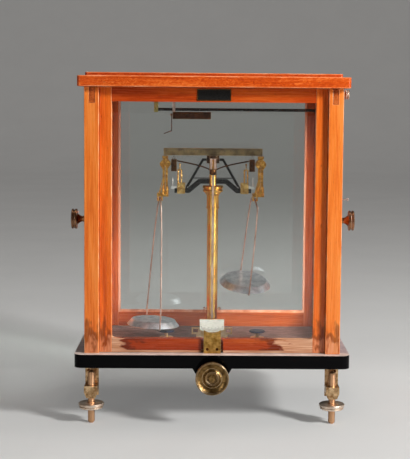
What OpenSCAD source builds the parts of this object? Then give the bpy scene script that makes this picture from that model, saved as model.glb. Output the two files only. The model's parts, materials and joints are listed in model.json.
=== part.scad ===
// Precision balance in a glazed mahogany case on a black base plate.
// Millimetres, +Z up from the bench, the front of the case towards -Y.

/* [Base] */
// Width of the base plate
base_w = 450; // [444:1:480]
// Depth of the base plate, front to back
base_d = 280; // [276:1:320]
// Thickness of the base plate
base_t = 22; // [18:1:28]
// Radius of the base plate's corners in plan
base_r = 14; // [6:1:20]
// Height of the base plate's underside above the bench
base_lift = 96; // [92:1:110]
// Width of the front boss at the base plate
boss_w = 64; // [56:1:72]
// Width of the front boss at its foot
boss_foot_w = 40; // [30:1:48]
// Thickness of the front boss
boss_t = 14; // [10:1:18]

/* [Case] */
// Width of the case across its posts
case_w = 418; // [410:1:430]
// Depth of the case across its posts
case_d = 255.5; // [250:0.5:262]
// Height of the posts
case_h = 434; // [430:1:450]
// Distance of the case behind the base plate's front edge
case_setback = 12.5; // [8:0.5:14]
// Side of a square post
post_w = 24; // [22:0.5:26]
// Thickness of a side rail
side_rail_t = 20; // [18:0.5:22]
// Height of a side top rail
side_top_h = 26; // [24:0.5:28]
// Height of a side sill
side_sill_h = 16; // [12:0.5:20]
// Thickness of a side top rail's through tenon
tenon_t = 8.5; // [6:0.5:10]
// Thickness of the glass panes
glass_t = 2.5; // [2:0.1:3]
// Depth of a pane's edge in its groove
glass_bite = 4; // [3:0.5:6]

/* [Rear frame] */
// Thickness of the rear frame
rear_t = 14; // [12:0.5:16]
// Distance from the case's back to the rear frame's inner face
rear_inset = 18; // [16:0.5:20]
// Width of a rear stile
rear_stile_w = 14.5; // [10:0.5:16]
// Height of the rear bottom rail
rear_bottom_h = 26; // [22:0.5:30]
// Height of the rear top rail
rear_top_h = 17.5; // [16:0.5:30]
// Width of a glazing bead
bead_w = 4; // [2.5:0.5:5]

/* [Top board] */
// Thickness of the top board
top_t = 17.5; // [14:0.5:22]
// Overhang of the top board in front of the posts
top_over_front = 13; // [10:0.5:15]
// Overhang of the top board at each side
top_over_side = 10; // [6:0.5:12]
// Overhang of the top board behind the posts
top_over_back = 8.5; // [4:0.5:10]
// Radius of the top board's corners in plan
top_r = 5; // [2:0.5:10]
// Thickness of the upper panel
panel_t = 6; // [4:0.5:9]
// Inset of the upper panel from the board's side and back edges
panel_inset = 9; // [6:0.5:14]

/* [Front sash] */
// Distance of the sash behind the posts' front faces
sash_recess = 8; // [6:0.5:9]
// Thickness of the sash
sash_t = 14; // [12:0.5:15]
// Width of a sash stile
sash_stile_w = 19.7; // [16:0.1:24]
// Height of the sash's top rail
sash_top_h = 23.5; // [20.5:0.5:26]
// Height of the sash's bottom rail
sash_bottom_h = 22.7; // [20:0.1:30]
// Reach of the sash's tongue into the post
tongue_reach = 4; // [3:0.5:5]
// Thickness of the sash's tongue
tongue_t = 6; // [4:0.5:7]
// Width of the notch in the bottom rail around the keeper
notch_w = 36; // [34:1:44]
// Thickness of the wood left behind the notch
notch_web = 4; // [3:0.5:5]
// Width of the nameplate
plate_w = 55; // [40:1:70]
// Height of the nameplate
plate_h = 19; // [12:0.5:19]
// Thickness of the nameplate
plate_t = 1; // [0.6:0.1:1.4]

/* [Side doors] */
// Thickness of a door
door_t = 16; // [14:0.5:18]
// Width of a door stile
door_stile_w = 22; // [18:0.5:26]
// Height of a door rail
door_rail_h = 24; // [18:0.5:30]
// Gap around a door
door_gap = 0.6; // [0.4:0.1:1]
// Diameter of a hinge knuckle
hinge_d = 5; // [4:0.5:6]
// Length of one hinge knuckle
knuckle_h = 10; // [8:0.5:14]
// Height of the door knobs above the base plate
door_knob_h = 217; // [150:1:260]
// Diameter of a door knob
door_knob_d = 33; // [26:1:38]
// Reach of a door knob from the door's face
door_knob_out = 23.5; // [20:0.5:28]

/* [Feet] */
// Distance of a levelling screw from the middle plane
foot_x = 198.5; // [190:0.5:200]
// Distance of the levelling screws behind the base plate's front edge
foot_setback = 23; // [20:0.5:30]
// Diameter of a levelling screw
foot_screw_d = 11.2; // [9:0.2:12]
// Diameter of a levelling disc
disc_d = 42; // [34:1:46]
// Thickness of a levelling disc
disc_t = 9; // [7:0.5:11]
// Height of a levelling disc above the bench
disc_lift = 24.5; // [20:0.5:30]
// Width of a foot bracket
bracket_w = 22; // [18:0.5:24]
// Height of the foot bracket's lug
lug_h = 20; // [16:0.5:24]
// Height of the lug's top above the bench
lug_top = 63; // [58:0.5:68]
// Diameter of the rear foot's pad
rear_foot_d = 34; // [28:1:42]

/* [Column] */
// Diameter of the column's shaft
shaft_d = 19; // [17:0.5:21]
// Diameter of the capital
capital_d = 36; // [30:0.5:36]
// Height of the capital
capital_h = 16; // [12:0.5:18]
// Height of the beam's knife line above the base plate
knife_h = 313; // [308:1:330]
// Height of the capital's top below the knife line
capital_drop = 46; // [44:0.5:50]
// Diameter of the neck
neck_d = 14; // [13:0.5:16]
// Width of the neck's slot
neck_slot = 7; // [6.6:0.1:7.6]
// Diameter of the lifting rod
rod_d = 6.4; // [5:0.2:6.4]

/* [Index] */
// Width of the ivory scale
scale_w = 42; // [34:1:46]
// Height of the ivory scale at its ends
scale_h = 17; // [14:0.5:20]
// Depth of the arc under the ivory scale
scale_sag = 5; // [2:0.5:7]
// Height of the index stand
stand_h = 37; // [32:0.5:38]
// Width of the sash keeper
keeper_w = 28; // [22:0.5:30]
// Height of the sash keeper
keeper_h = 38; // [30:0.5:42]
// Thickness of the sash keeper
keeper_t = 3; // [2:0.5:4]

/* [Beam] */
// Distance from the centre knife to an end knife
arm = 82; // [80:0.5:88]
// Height of the rider bar
rider_bar_h = 12.5; // [9:0.5:14]
// Thickness of the rider bar
rider_bar_t = 2.5; // [2:0.1:3.5]
// Rise of the rider bar's foot above the knife line
rider_bar_rise = 5.5; // [5:0.1:7]
// Thickness of the beam's tie rods
tie_t = 2.4; // [1.8:0.1:3]
// Depth of the beam's truss below the knife line
truss_drop = 21; // [18:0.5:23]
// Diameter of the pointer's bob
bob_d = 12; // [8:0.5:12]
// Width of the pointer's blade
pointer_w = 3.4; // [2:0.1:5]

/* [Arrestment] */
// Travel of the arrestment frame
arrest_travel = 3; // [2:0.1:3]
// Height of the black arrestment bar
arrest_bar_h = 8; // [6:0.5:8]
// Thickness of the black arrestment bar
arrest_bar_t = 5; // [4:0.2:5.4]
// Distance of the beam supports from the middle plane
support_x = 54.5; // [52:0.5:56]
// Diameter of the arrestment knob
knob_d = 54; // [44:1:58]
// Reach of the arrestment knob in front of the base plate
knob_out = 25; // [22:0.5:30]
// Diameter of the knob's shaft
knob_shaft_d = 8; // [6:0.5:8]
// Distance of a pan rest from the middle plane
rest_x = 79; // [74:0.5:84]
// Diameter of a pan rest
rest_d = 28; // [22:1:32]

/* [Suspensions] */
// Height of a stirrup below the knife line
stirrup_h = 65; // [60:0.5:68]
// Width of a stirrup at its foot
stirrup_w = 18; // [15:0.5:19]
// Thickness of a stirrup's cheek
cheek_t = 2.5; // [2:0.1:3]
// Diameter of the bail wire
wire_d = 2.6; // [1.8:0.1:2.6]
// Height of the left pan's rim above the base plate
left_pan_rise = 24; // [24:1:40]
// Height of the right pan's rim above the base plate
right_pan_rise = 90; // [70:1:100]
// Diameter of a pan at its rim
pan_d = 90; // [78:1:90]
// Diameter of a pan's flat top
pan_top_d = 75; // [66:1:76]
// Height of a pan
pan_h = 10; // [8:0.5:11]
// Thickness of a pan's wall
pan_wall = 1.4; // [1:0.1:2]

/* [Rider gear] */
// Diameter of the rider rail
rail_d = 5; // [4:0.5:6]
// Height of the rider rail below the top board
rail_drop = 37; // [36:0.5:42]
// Height of the control rod below the top board
control_drop = 9.5; // [9.5:0.5:12]
// Diameter of the control rod
control_d = 5; // [4:0.5:5]
// Length of the carriage bar
carriage_l = 66; // [50:1:80]
// Height of the carriage bar
carriage_h = 12.5; // [9:0.5:14]
// Diameter of the rider knob
rider_knob_d = 17; // [14:0.5:18]
// Share of the room between the carriage bar and the rider bar that the rider hook takes
hook_share = 0.5; // [0.4:0.05:0.65]

/* [Hidden] */
$fn = 64;

// Fits and overruns
cut = 0.5;
fit = 0.1;
play = 0.3;
knife_gap = 0.05;

// Levels
deck_z = base_lift + base_t;
ceil_z = deck_z + case_h;
roof_z = ceil_z + top_t;
knife_z = deck_z + knife_h;
capital_z = knife_z - capital_drop;

// Plan of the case, with the whole object centred front to back
base_y0 = (knob_out - base_d) / 2;
base_y1 = base_y0 + base_d;
case_y0 = base_y0 + case_setback;
case_y1 = case_y0 + case_d;
mid_y = (case_y0 + case_y1) / 2;
case_x = case_w / 2;
post_in = case_x - post_w;
side_y0 = case_y0 + post_w;
side_y1 = case_y1 - post_w;
rail_x = case_x - side_rail_t;
tenon_x = case_x - post_w / 2 - tenon_t / 2 - 1;

// Sash
sash_y0 = case_y0 + sash_recess;
sash_y1 = sash_y0 + sash_t;
sash_mid = (sash_y0 + sash_y1) / 2;
sash_x = post_in - play;
sash_z0 = deck_z + play;
sash_z1 = ceil_z - play;
sash_in = sash_x - sash_stile_w;
quirk_rise = 3.4;
quirk_w = 0.8;
sash_open_z0 = sash_z0 + sash_bottom_h;
sash_open_z1 = sash_z1 - sash_top_h;
cove_r = 5;
plate_z = (sash_open_z1 + sash_z1) / 2;
plate_rim = 1.6;
slot_front = plate_t + 2 * play;
panel_gap = 4;

// Rear frame
rear_y0 = case_y1 - rear_inset;
rear_y1 = rear_y0 + rear_t;
rear_mid = (rear_y0 + rear_y1) / 2;
rear_in = post_in - rear_stile_w;
rear_open_z0 = deck_z + rear_bottom_h;
rear_open_z1 = ceil_z - rear_top_h;

// Doors
door_y0 = side_y0 + door_gap;
door_y1 = side_y1 - door_gap;
door_z0 = deck_z + side_sill_h + door_gap;
door_z1 = ceil_z - side_top_h - door_gap;
door_x0 = case_x - door_t;
door_mid = case_x - door_t / 2;
leaf_t = 1;
leaf_w = 11;
hinge_pin_d = 2.4;
hinge_off = 0.2;
hinge_x = case_x + hinge_d / 2 + hinge_off;
hinge_y = side_y1 - door_gap / 2;
knuckles = 3;
hinge_h = knuckles * knuckle_h;
hinge_inset = 40;
hinge_levels = [door_z0 + hinge_inset, door_z1 - hinge_inset - hinge_h];
knuckle_gap = 0.3;
door_knob_z = deck_z + door_knob_h;
door_knob_y = door_y0 + door_stile_w / 2;
catch_drop = 180;
catch_d = 2.4;
catch_l = 9;

// Feet
foot_y = base_y0 + foot_setback;
bracket_plate_t = 4;
bracket_y0 = foot_y - bracket_w / 2;
lug_wall = 6;
bracket_y1 = foot_y + foot_screw_d / 2 + lug_wall;
lug_foot_w = 15;
lug_straight = 11;
bracket_screw_drop = 11;
bracket_screw_rise = 9;
rear_foot_inset = 30;
rear_foot_y = base_y1 - rear_foot_inset;

// Mechanism below the base
shaft_drop = 33.4;
shaft_z = deck_z - shaft_drop;
shaft_end = 10;
shaft_y1 = mid_y + shaft_end;
cam_r = 9;
cam_t = 10;
bridge_t = 4;
bridge_w = 9;
cam_gap = 0.5;
bridge_z0 = shaft_z + cam_r + cam_gap;
pocket_room = 6;
pocket_z1 = bridge_z0 + bridge_t + pocket_room;
pocket_play = 3;
rod_hole_d = rod_d + 2 * fit;
stem_d = 6;
rest_pad_t = 4;
rest_rise = 10.5;
rest_z0 = deck_z + rest_rise;
bush_d = 24;
bush_t = 2.5;
hanger_t = 10;
hanger_out = 32;
hanger_y0 = mid_y - hanger_out;
hanger_w = 20;

// Index and keeper
index_gap = 5;
index_y0 = mid_y - capital_d / 2 - index_gap;
index_t = 2;
stand_t = 2.5;
stand_y0 = index_y0 + index_t;
eye_w = 14;
eye_h = 12;
eye_wall = 2.8;
eye_t = 3;
eye_foot_w = 6;
eye_rise = 11;
keeper_y0 = case_y0 + 2;
keeper_flange = 1.5;
keeper_flange_d = 6;
keeper_screw_in = 6;
keeper_screw_rise = 7;
scoop_r = 22;
scoop_depth = 4;
head_d = 5;
head_t = 1.2;

cross_pin_d = 2;
cross_pin_rise = 53;
cross_pin_z = deck_z + cross_pin_rise;
cross_pin_x = 13;
pin_ball_d = 5;

// Neck and arrestment frame
slot_bite = 2;
slot_z0 = capital_z - slot_bite;
plane_t = 1.5;
plane_z1 = knife_z - knife_gap;
prong_z1 = plane_z1 - plane_t;
arrest_gap = 3;
arrest_fall = 16.2;
arrest_mid_z0 = capital_z + arrest_gap;
arrest_end_z0 = arrest_mid_z0 - arrest_fall;
arrest_flat_x = 23;
arrest_knee_x = 42;
arrest_end_x = 66;
strut_w = 4.4;
strut_t = 2;
strut_back = 9.5;
strut_y0 = mid_y + strut_back;
strut_top_x = 18.5;
strut_foot_x = 47;
brace_rise = 15;
brace_bite = 2;
brace_d = 1.6;
support_rod_d = 3;
support_gap = 2.7;
support_shift = 2.5;
support_rod_h = 21;
support_neck_d = 1.8;
support_ball_d = 3.4;
support_block_w = 13.6;
support_block_d = 12;
support_block_h = 19;
stop_back = 4;
stop_out = 6;
stop_up = 3.7;
stop_down = 1.2;
stop_half = 2.5;
stop_pin_d = 1.2;
stop_pin_h = 15;

// Beam
beam_swing = 1.5;
rider_bar_z0 = knife_z + rider_bar_rise;
rider_bar_over = 3;
rider_bar_x = arm + rider_bar_over;
tie_end_x = 62;
tie_end_drop = 4;
tie_end_z = knife_z - tie_end_drop;
tie_mid_x = 4;
tie_mid_z = knife_z - truss_drop;
hub_d = 9;
web_w = 6;
beam_t = neck_slot - 1;
block_w = 22;
block_drop = 8;
block_z0 = knife_z - block_drop;
end_block_x0 = tie_end_x + play;
end_block_w = 10;
end_block_h = 22;
end_block_x1 = tie_end_x + end_block_w;
end_block_z0 = knife_z - end_block_h;
end_block_z1 = knife_z - 1;
end_block_t = 8;
knife_w = 7;
knife_l = 17;
centre_knife_h = rider_bar_rise - fit;
end_knife_l = 16;
end_arm_drop = 12;
end_arm_z0 = knife_z - end_arm_drop;
end_arm_h = 5;
end_arm_t = 6;
wedge_w = 8;
wedge_top_w = 2;
wedge_t = 5;

// Pointer
pointer_gap = 2.5;
pointer_y = mid_y - capital_d / 2 - pointer_gap;
pointer_t = 1;
yoke_x = 6.8;
yoke_arm_w = 2.7;
yoke_z0 = knife_z + 1;
yoke_t = 2;
strip_x0 = 1.5;
strip_w = 3.6;
strip_h = 17;
strip_z0 = knife_z - strip_h;
bob_h = 10;
bob_z0 = strip_z0 - bob_h;
pointer_tip_gap = 1.5;
pointer_z0 = deck_z + stand_h + pointer_tip_gap;

// Stirrups
stirrup_z0 = knife_z - stirrup_h;
cheek_in = 9.5;
cheek_out = cheek_in + cheek_t;
crossbar_w = 10;
crossbar_z1 = rider_bar_z0 - 0.9;
bridge_foot_h = 6;
neck_half = 3.2;
waist_half = 4.2;
foot_half = 5.8;
cheek_slot = 1.4;
strap_w = 3.2;
strap_h = 26;
boss_x = [-5.5, 0.8];
boss_d = 4.4;
leg_x = 3.6;
leg_d = 3;
leg_drop = 3;
leg_rise = 12;
hook_pin_d = 2.6;
hook_pin_drop = 6;
hook_pin_z = stirrup_z0 - hook_pin_drop;
hook_shift = -9.2;
hook_arm_over = 4.7;
hook_arm_end = hook_shift - hook_arm_over;
lug_gap = 5;
hook_lug_t = 2;
hook_lug_w = 5;
hook_play = 0.25;

// Bails and pans: each hangs as the photograph has it
left_twist = 17;
right_twist = 7.8;
left_lean = 3;
right_lean = 3.5;
left_tilt = 0;
right_tilt = 14.5;
left_bulge = 0.63;
right_bulge = 0.16;
straight_share = 0.9;
left_drop = (hook_pin_z - deck_z - left_pan_rise) / (cos(left_lean) * cos(left_tilt));
right_drop = (hook_pin_z - deck_z - right_pan_rise) / (cos(right_lean) * cos(right_tilt));
left_pin_x = -arm + hook_shift;
right_pin_x = arm + hook_shift;
arch_r = hook_pin_d / 2 + wire_d / 2 + hook_play;
rim_play = 0.25;
rim_gap = wire_d / 2 + rim_play;
bail_half = pan_d / 2 + rim_gap;
hook_in = 4;
wire_sides = 8;
leg_steps = 14;
arch_steps = 4;

// Rider gear
rail_z = ceil_z - rail_drop;
control_z = ceil_z - control_drop;
rail_bracket_w = 7;
rail_bracket_t = 12;
rail_bracket_foot = 2;
bracket_gap = 1;
left_bracket_out = 19.5;
left_bracket_x = -arm - left_bracket_out;
right_bracket_x = post_in - rail_bracket_w - bracket_gap;
carriage_in = 12;
carriage_x0 = -arm + carriage_in;
carriage_w = 4.5;
carriage_t = 14;
carriage_foot = 1.5;
carriage_head = 3;
carriage_z0 = rail_z - rail_d / 2 - carriage_foot;
carriage_z1 = control_z + control_d / 2 + carriage_head;
carriage_bar_t = 7;
rider_knob_out = 16;
rider_knob_x = case_x + rider_knob_out;
rider_knob_w = 8;
hook_wire_d = 1.4;
hook_bead_d = 1.8;
hook_pivot_d = 2;
hook_eye_d = 5;
hook_eye_w = 2.2;
hook_pivot_z = carriage_z0 - hook_eye_d;
hook_drop = hook_share * (carriage_z0 - carriage_h - rider_bar_z0 - rider_bar_h);
hook_kick = 12.5;
hook_kick_drop = hook_drop / 5;

// A block between two corners
module box(x0, x1, y0, y1, z0, z1) {
    translate([x0, y0, z0]) cube([x1 - x0, y1 - y0, z1 - z0]);
}

// The children on the right and their mirror image on the left
module both_sides() {
    children();
    mirror([1, 0, 0]) children();
}

// A cylinder along X from x0 to x1
module rod_x(d, x0, x1, y, z) {
    translate([x0, y, z]) rotate([0, 90, 0]) cylinder(d = d, h = x1 - x0);
}

// A cylinder along Y from y0 to y1
module rod_y(d, x, y0, y1, z) {
    translate([x, y0, z]) rotate([-90, 0, 0]) cylinder(d = d, h = y1 - y0);
}

// A cylinder along Z from z0 to z1
module rod_z(d, x, y, z0, z1) {
    translate([x, y, z0]) cylinder(d = d, h = z1 - z0);
}

// A straight wire with a ball at each end, from one point to another
module wire(d, a, b, ball_d) {
    run = b - a;
    length = norm(run);
    turn = atan2(run[1], run[0]);
    fall = acos(run[2] / length);
    translate(a) rotate([0, fall, turn]) cylinder(d = d, h = length, $fn = 24);
    translate(a) sphere(d = ball_d, $fn = 24);
    translate(b) sphere(d = ball_d, $fn = 24);
}

// A rectangle with round corners
module round_rect(w, d, r) {
    square([w - 2 * r, d], center = true);
    square([w, d - 2 * r], center = true);
    for (x = [-1, 1], y = [-1, 1])
        translate([x * (w / 2 - r), y * (d / 2 - r)]) circle(r);
}

// An outline in the X-Z plane given thickness along Y
module front_plate(points, y0, y1) {
    translate([0, y1, 0]) rotate([90, 0, 0]) linear_extrude(y1 - y0) polygon(points);
}

// A pane on its edge across the case, between the grooves of its frame
module pane_y(x, y, z0, z1) {
    box(-x - glass_bite, x + glass_bite, y - glass_t / 2, y + glass_t / 2,
        z0 - glass_bite, z1 + glass_bite);
}

// The groove that takes a pane across the case
module pane_y_groove(x, y, z0, z1) {
    edge = glass_bite + play;
    side = glass_t / 2 + play;
    box(-x - edge, x + edge, y - side, y + side, z0 - edge, z1 + edge);
}

// A turned body about Z from points of radius and height
module turned(points) {
    rotate_extrude() polygon(points);
}

module base_slab() {
    translate([0, (base_y0 + base_y1) / 2, base_lift])
        linear_extrude(base_t) round_rect(base_w, base_d, base_r);
}

// The boss under the front edge that carries the knob's shaft
module base_boss() {
    boss_z0 = shaft_z - knob_shaft_d - 1;
    front_plate([
        [-boss_w / 2, base_lift + cut], [boss_w / 2, base_lift + cut],
        [boss_w / 2, base_lift], [boss_foot_w / 2, boss_z0],
        [-boss_foot_w / 2, boss_z0], [-boss_w / 2, base_lift]
    ], base_y0, base_y0 + boss_t);
}

module base_plate() {
    pocket_x = rest_x + stem_d / 2 + 2 * pocket_play;
    pocket_y = bridge_w / 2 + pocket_play;
    color("#0a0a0c") difference() {
        union() {
            base_slab();
            base_boss();
        }
        box(-pocket_x, pocket_x, mid_y - pocket_y, mid_y + pocket_y, base_lift - cut, pocket_z1);
        rod_z(rod_hole_d, 0, mid_y, pocket_z1 - cut, deck_z + cut);
        for (x = [-rest_x, rest_x])
            rod_z(stem_d + 2 * fit, x, mid_y, pocket_z1 - cut, deck_z + cut);
        rod_y(knob_shaft_d + 2 * fit, 0, base_y0 - cut, base_y0 + boss_t + cut, shaft_z);
    }
}

// A front post with the sash's groove and the mortise of the side rail
module front_post() {
    groove_y0 = sash_mid - tongue_t / 2 - play;
    groove_y1 = sash_mid + tongue_t / 2 + play;
    difference() {
        box(post_in, case_x, case_y0, case_y0 + post_w, deck_z, ceil_z);
        box(post_in - cut, post_in + tongue_reach + play, groove_y0, groove_y1,
            deck_z - cut, ceil_z + cut);
        box(tenon_x, tenon_x + tenon_t, case_y0 - cut, side_y0 + cut,
            ceil_z - side_top_h, ceil_z + cut);
    }
}

module posts() {
    color("#c8642a") both_sides() {
        front_post();
        box(post_in, case_x, side_y1, case_y1, deck_z, ceil_z);
    }
}

module side_rails() {
    color("#b85420") difference() {
        both_sides() {
            box(rail_x, case_x, side_y0, side_y1, ceil_z - side_top_h, ceil_z);
            box(tenon_x + fit, tenon_x + tenon_t - fit, case_y0 - fit, side_y0 + cut,
                ceil_z - side_top_h + fit, ceil_z);
            box(rail_x, case_x, side_y0, side_y1, deck_z, deck_z + side_sill_h);
        }
        rod_x(control_d + 2 * fit, rail_x - cut, case_x + cut, mid_y, control_z);
    }
}

module rear_stiles() {
    color("#b5531f") difference() {
        both_sides() box(rear_in, post_in, rear_y0, rear_y1, deck_z, ceil_z);
        pane_y_groove(rear_in, rear_mid, rear_open_z0, rear_open_z1);
    }
}

module rear_rails() {
    color("#b5531f") difference() {
        union() {
            box(-rear_in, rear_in, rear_y0, rear_y1, deck_z, rear_open_z0);
            box(-rear_in, rear_in, rear_y0, rear_y1, rear_open_z1, ceil_z);
        }
        pane_y_groove(rear_in, rear_mid, rear_open_z0, rear_open_z1);
    }
}

// The four strips in front of the pane, mitred as butts between the uprights
module rear_beads() {
    bead_y1 = rear_mid - glass_t / 2 - fit;
    color("#d88a55") {
        both_sides() box(rear_in - bead_w, rear_in, rear_y0, bead_y1, rear_open_z0, rear_open_z1);
        box(-rear_in + bead_w + fit, rear_in - bead_w - fit, rear_y0, bead_y1,
            rear_open_z0, rear_open_z0 + bead_w);
        box(-rear_in + bead_w + fit, rear_in - bead_w - fit, rear_y0, bead_y1,
            rear_open_z1 - bead_w, rear_open_z1);
    }
}

module rear_glass() {
    color("#bcd0cc", 0.3) pane_y(rear_in, rear_mid, rear_open_z0, rear_open_z1);
}

module top_board() {
    board_w = case_w + 2 * top_over_side;
    board_y0 = case_y0 - top_over_front;
    board_y1 = case_y1 + top_over_back;
    slot_x = post_in + tongue_reach + 2 * play;
    color("#c2561c") difference() {
        translate([0, (board_y0 + board_y1) / 2, ceil_z])
            linear_extrude(top_t) round_rect(board_w, board_y1 - board_y0, top_r);
        box(-slot_x, slot_x, sash_y0 - slot_front, sash_y1 + 2 * play, ceil_z - cut, roof_z + cut);
    }
}

module top_panel() {
    panel_x = case_x + top_over_side - panel_inset;
    panel_y0 = sash_y1 + panel_gap;
    panel_y1 = case_y1 + top_over_back - panel_inset;
    color("#c2561c") translate([0, (panel_y0 + panel_y1) / 2, roof_z])
        linear_extrude(panel_t) round_rect(2 * panel_x, panel_y1 - panel_y0, top_r);
}

// A bracket: a plate against the base's underside and a threaded lug below it
module foot_bracket() {
    lug_z0 = lug_top - lug_h;
    plate_x0 = foot_x - bracket_w / 2;
    plate_x1 = foot_x + bracket_w / 2;
    difference() {
        union() {
            box(plate_x0, plate_x1, bracket_y1, bracket_y1 + bracket_plate_t, lug_z0, base_lift);
            front_plate([
                [plate_x0, lug_top], [plate_x1, lug_top], [plate_x1, lug_top - lug_straight],
                [foot_x + lug_foot_w / 2, lug_z0], [foot_x - lug_foot_w / 2, lug_z0],
                [plate_x0, lug_top - lug_straight]
            ], bracket_y0, bracket_y1 + bracket_plate_t / 2);
            box(plate_x0, plate_x1, bracket_y1 + bracket_plate_t / 2,
                bracket_y1 + 5 * bracket_plate_t, base_lift - bracket_plate_t, base_lift);
        }
        rod_z(foot_screw_d + 2 * fit, foot_x, foot_y, lug_z0 - cut, lug_top + cut);
        for (z = [base_lift - bracket_screw_drop, lug_top + bracket_screw_rise])
            rod_y(head_d / 2, foot_x + bracket_w / 4, bracket_y1 - cut,
                bracket_y1 + bracket_plate_t + cut, z);
    }
}

module foot_brackets() {
    color("#b9966a") both_sides() foot_bracket();
}

// The hanger below the base that carries the shaft's far end
module shaft_hanger() {
    difference() {
        box(-hanger_w / 2, hanger_w / 2, hanger_y0, hanger_y0 + hanger_t,
            shaft_z - knob_shaft_d, base_lift);
        rod_y(knob_shaft_d + 2 * fit, 0, hanger_y0 - cut, hanger_y0 + hanger_t + cut, shaft_z);
    }
}

module rear_foot() {
    r = rear_foot_d / 2;
    stem_r = foot_screw_d / 2 + 1;
    color("#8a6a45") {
        translate([0, rear_foot_y, 0]) turned([
            [0, 0], [r - 2, 0], [r, 2], [r, 5], [r - 3, 8], [stem_r, 12], [stem_r, base_lift - 12],
            [r - 3, base_lift - 5], [r, base_lift - 4], [r, base_lift], [0, base_lift]
        ]);
        shaft_hanger();
    }
}

// The turned column, bored for the lifting rod, with its neck slotted into two prongs
module column() {
    r = shaft_d / 2;
    c = capital_d / 2;
    foot_r = r + 6;
    ring_z = capital_z - 2 * shaft_d;
    ring_r = r + 1.8;
    cup_z = capital_z - capital_h;
    color("#c89a4a") difference() {
        union() {
            translate([0, mid_y, 0]) turned([
                [0, deck_z], [foot_r, deck_z], [foot_r, deck_z + 4], [r + 2, deck_z + 7],
                [r, deck_z + 9], [r, ring_z - 2.4], [ring_r, ring_z - 1.6], [ring_r, ring_z + 0.8],
                [r + 0.9, ring_z + 1.6], [r + 0.9, cup_z - 3], [r + 1.8, cup_z],
                [c - 4, cup_z + 2.8], [c - 4, cup_z + 4], [c - 1, cup_z + 5.4],
                [c - 0.2, cup_z + 7.2], [c - 1, cup_z + 9], [c - 2, cup_z + 9.6],
                [c - 2, cup_z + 10.6], [c, cup_z + 11.6], [c, capital_z - 1.4],
                [c - 1.2, capital_z], [0, capital_z]
            ]);
            rod_z(neck_d, 0, mid_y, capital_z - cut, prong_z1);
        }
        rod_z(rod_hole_d, 0, mid_y, deck_z - cut, slot_z0 + cut);
        box(-c - cut, c + cut, mid_y - neck_slot / 2, mid_y + neck_slot / 2, slot_z0, prong_z1 + cut);
        rod_x(cross_pin_d + 2 * fit, -foot_r, foot_r, mid_y, cross_pin_z);
    }
}

// Bushes around the rest stems, screw heads on the keeper, the scale and the brackets
module brass_fittings() {
    color("#caa55c") {
        both_sides() difference() {
            rod_z(bush_d, rest_x, mid_y, deck_z, deck_z + bush_t);
            rod_z(stem_d + 2 * fit, rest_x, mid_y, deck_z - cut, deck_z + bush_t + cut);
        }
        both_sides() rod_y(head_d, keeper_w / 2 - keeper_screw_in, keeper_y0 - head_t, keeper_y0,
            deck_z + keeper_screw_rise);
        both_sides() for (z = [base_lift - bracket_screw_drop, lug_top + bracket_screw_rise])
            rod_y(head_d, foot_x + bracket_w / 4, bracket_y1 - head_t, bracket_y1, z);
    }
}

// The cross pin of the column with its ball ends, and the door catch on the right post
module steel_pins() {
    catch_z = ceil_z - catch_drop;
    catch_y = case_y0 + post_w / 2;
    color("#d8d4cc") {
        both_sides() {
            rod_x(cross_pin_d, shaft_d / 4, cross_pin_x, mid_y, cross_pin_z);
            translate([cross_pin_x, mid_y, cross_pin_z]) sphere(d = pin_ball_d);
        }
        rod_x(catch_d, case_x, case_x + catch_l, catch_y, catch_z);
        rod_x(head_d, case_x + catch_l, case_x + catch_l + 2 * head_t, catch_y, catch_z);
    }
}

// The two planes on the prongs that carry the centre knife
module agate_planes() {
    prong_t = (neck_d - neck_slot) / 2;
    color("#b04a3a") for (side = [-1, 1])
        translate([0, mid_y + side * (neck_slot + prong_t) / 2, prong_z1 + plane_t / 2])
            cube([neck_d / 2 + 1, prong_t - fit, plane_t], center = true);
}

// The stand behind the scale, with a foot and an eye on each side
module index_stand() {
    half = scale_w / 2;
    eye_z0 = deck_z + eye_rise;
    color("#c7a052") {
        difference() {
            box(-half, half, stand_y0, stand_y0 + stand_t, deck_z, deck_z + stand_h);
            rod_y(half, 0, stand_y0 - cut, stand_y0 + stand_t + cut, deck_z);
        }
        both_sides() {
            difference() {
                box(half - fit, half + eye_w, stand_y0, stand_y0 + eye_t, eye_z0, eye_z0 + eye_h);
                box(half + eye_wall, half + eye_w - eye_wall, stand_y0 - cut,
                    stand_y0 + eye_t + cut, eye_z0 + eye_wall, eye_z0 + eye_h - eye_wall);
            }
            box(half - fit, half + eye_foot_w, stand_y0, stand_y0 + eye_t, deck_z, eye_z0 + fit);
        }
    }
}

// The white scale with its arc below and the pins in its corners
module ivory_scale() {
    half = scale_w / 2;
    z1 = deck_z + stand_h;
    z0 = z1 - scale_h - scale_sag;
    sag_r = (half * half + scale_sag * scale_sag) / (2 * scale_sag);
    color("#e9e2cf") intersection() {
        box(-half, half, index_y0, index_y0 + index_t, z0, z1);
        rod_y(2 * sag_r, 0, index_y0 - cut, index_y0 + index_t + cut, z0 + sag_r);
    }
}

// The plate in the notch of the sash, scooped at its top
module sash_keeper() {
    half = keeper_w / 2;
    z1 = deck_z + keeper_h;
    back = keeper_y0 + keeper_flange_d;
    color("#b88b42") difference() {
        union() {
            box(-half, half, keeper_y0, keeper_y0 + keeper_t, deck_z, z1);
            both_sides() box(half - keeper_flange, half, keeper_y0, back, deck_z, z1);
        }
        rod_y(2 * scoop_r, 0, keeper_y0 - cut, back + cut, z1 + scoop_r - scoop_depth);
    }
}

// One knuckle about a hinge's pin
module knuckle(z0, z1) {
    difference() {
        rod_z(hinge_d, hinge_x, hinge_y, z0, z1);
        rod_z(hinge_pin_d + 2 * fit, hinge_x, hinge_y, z0 - cut, z1 + cut);
    }
}

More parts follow.
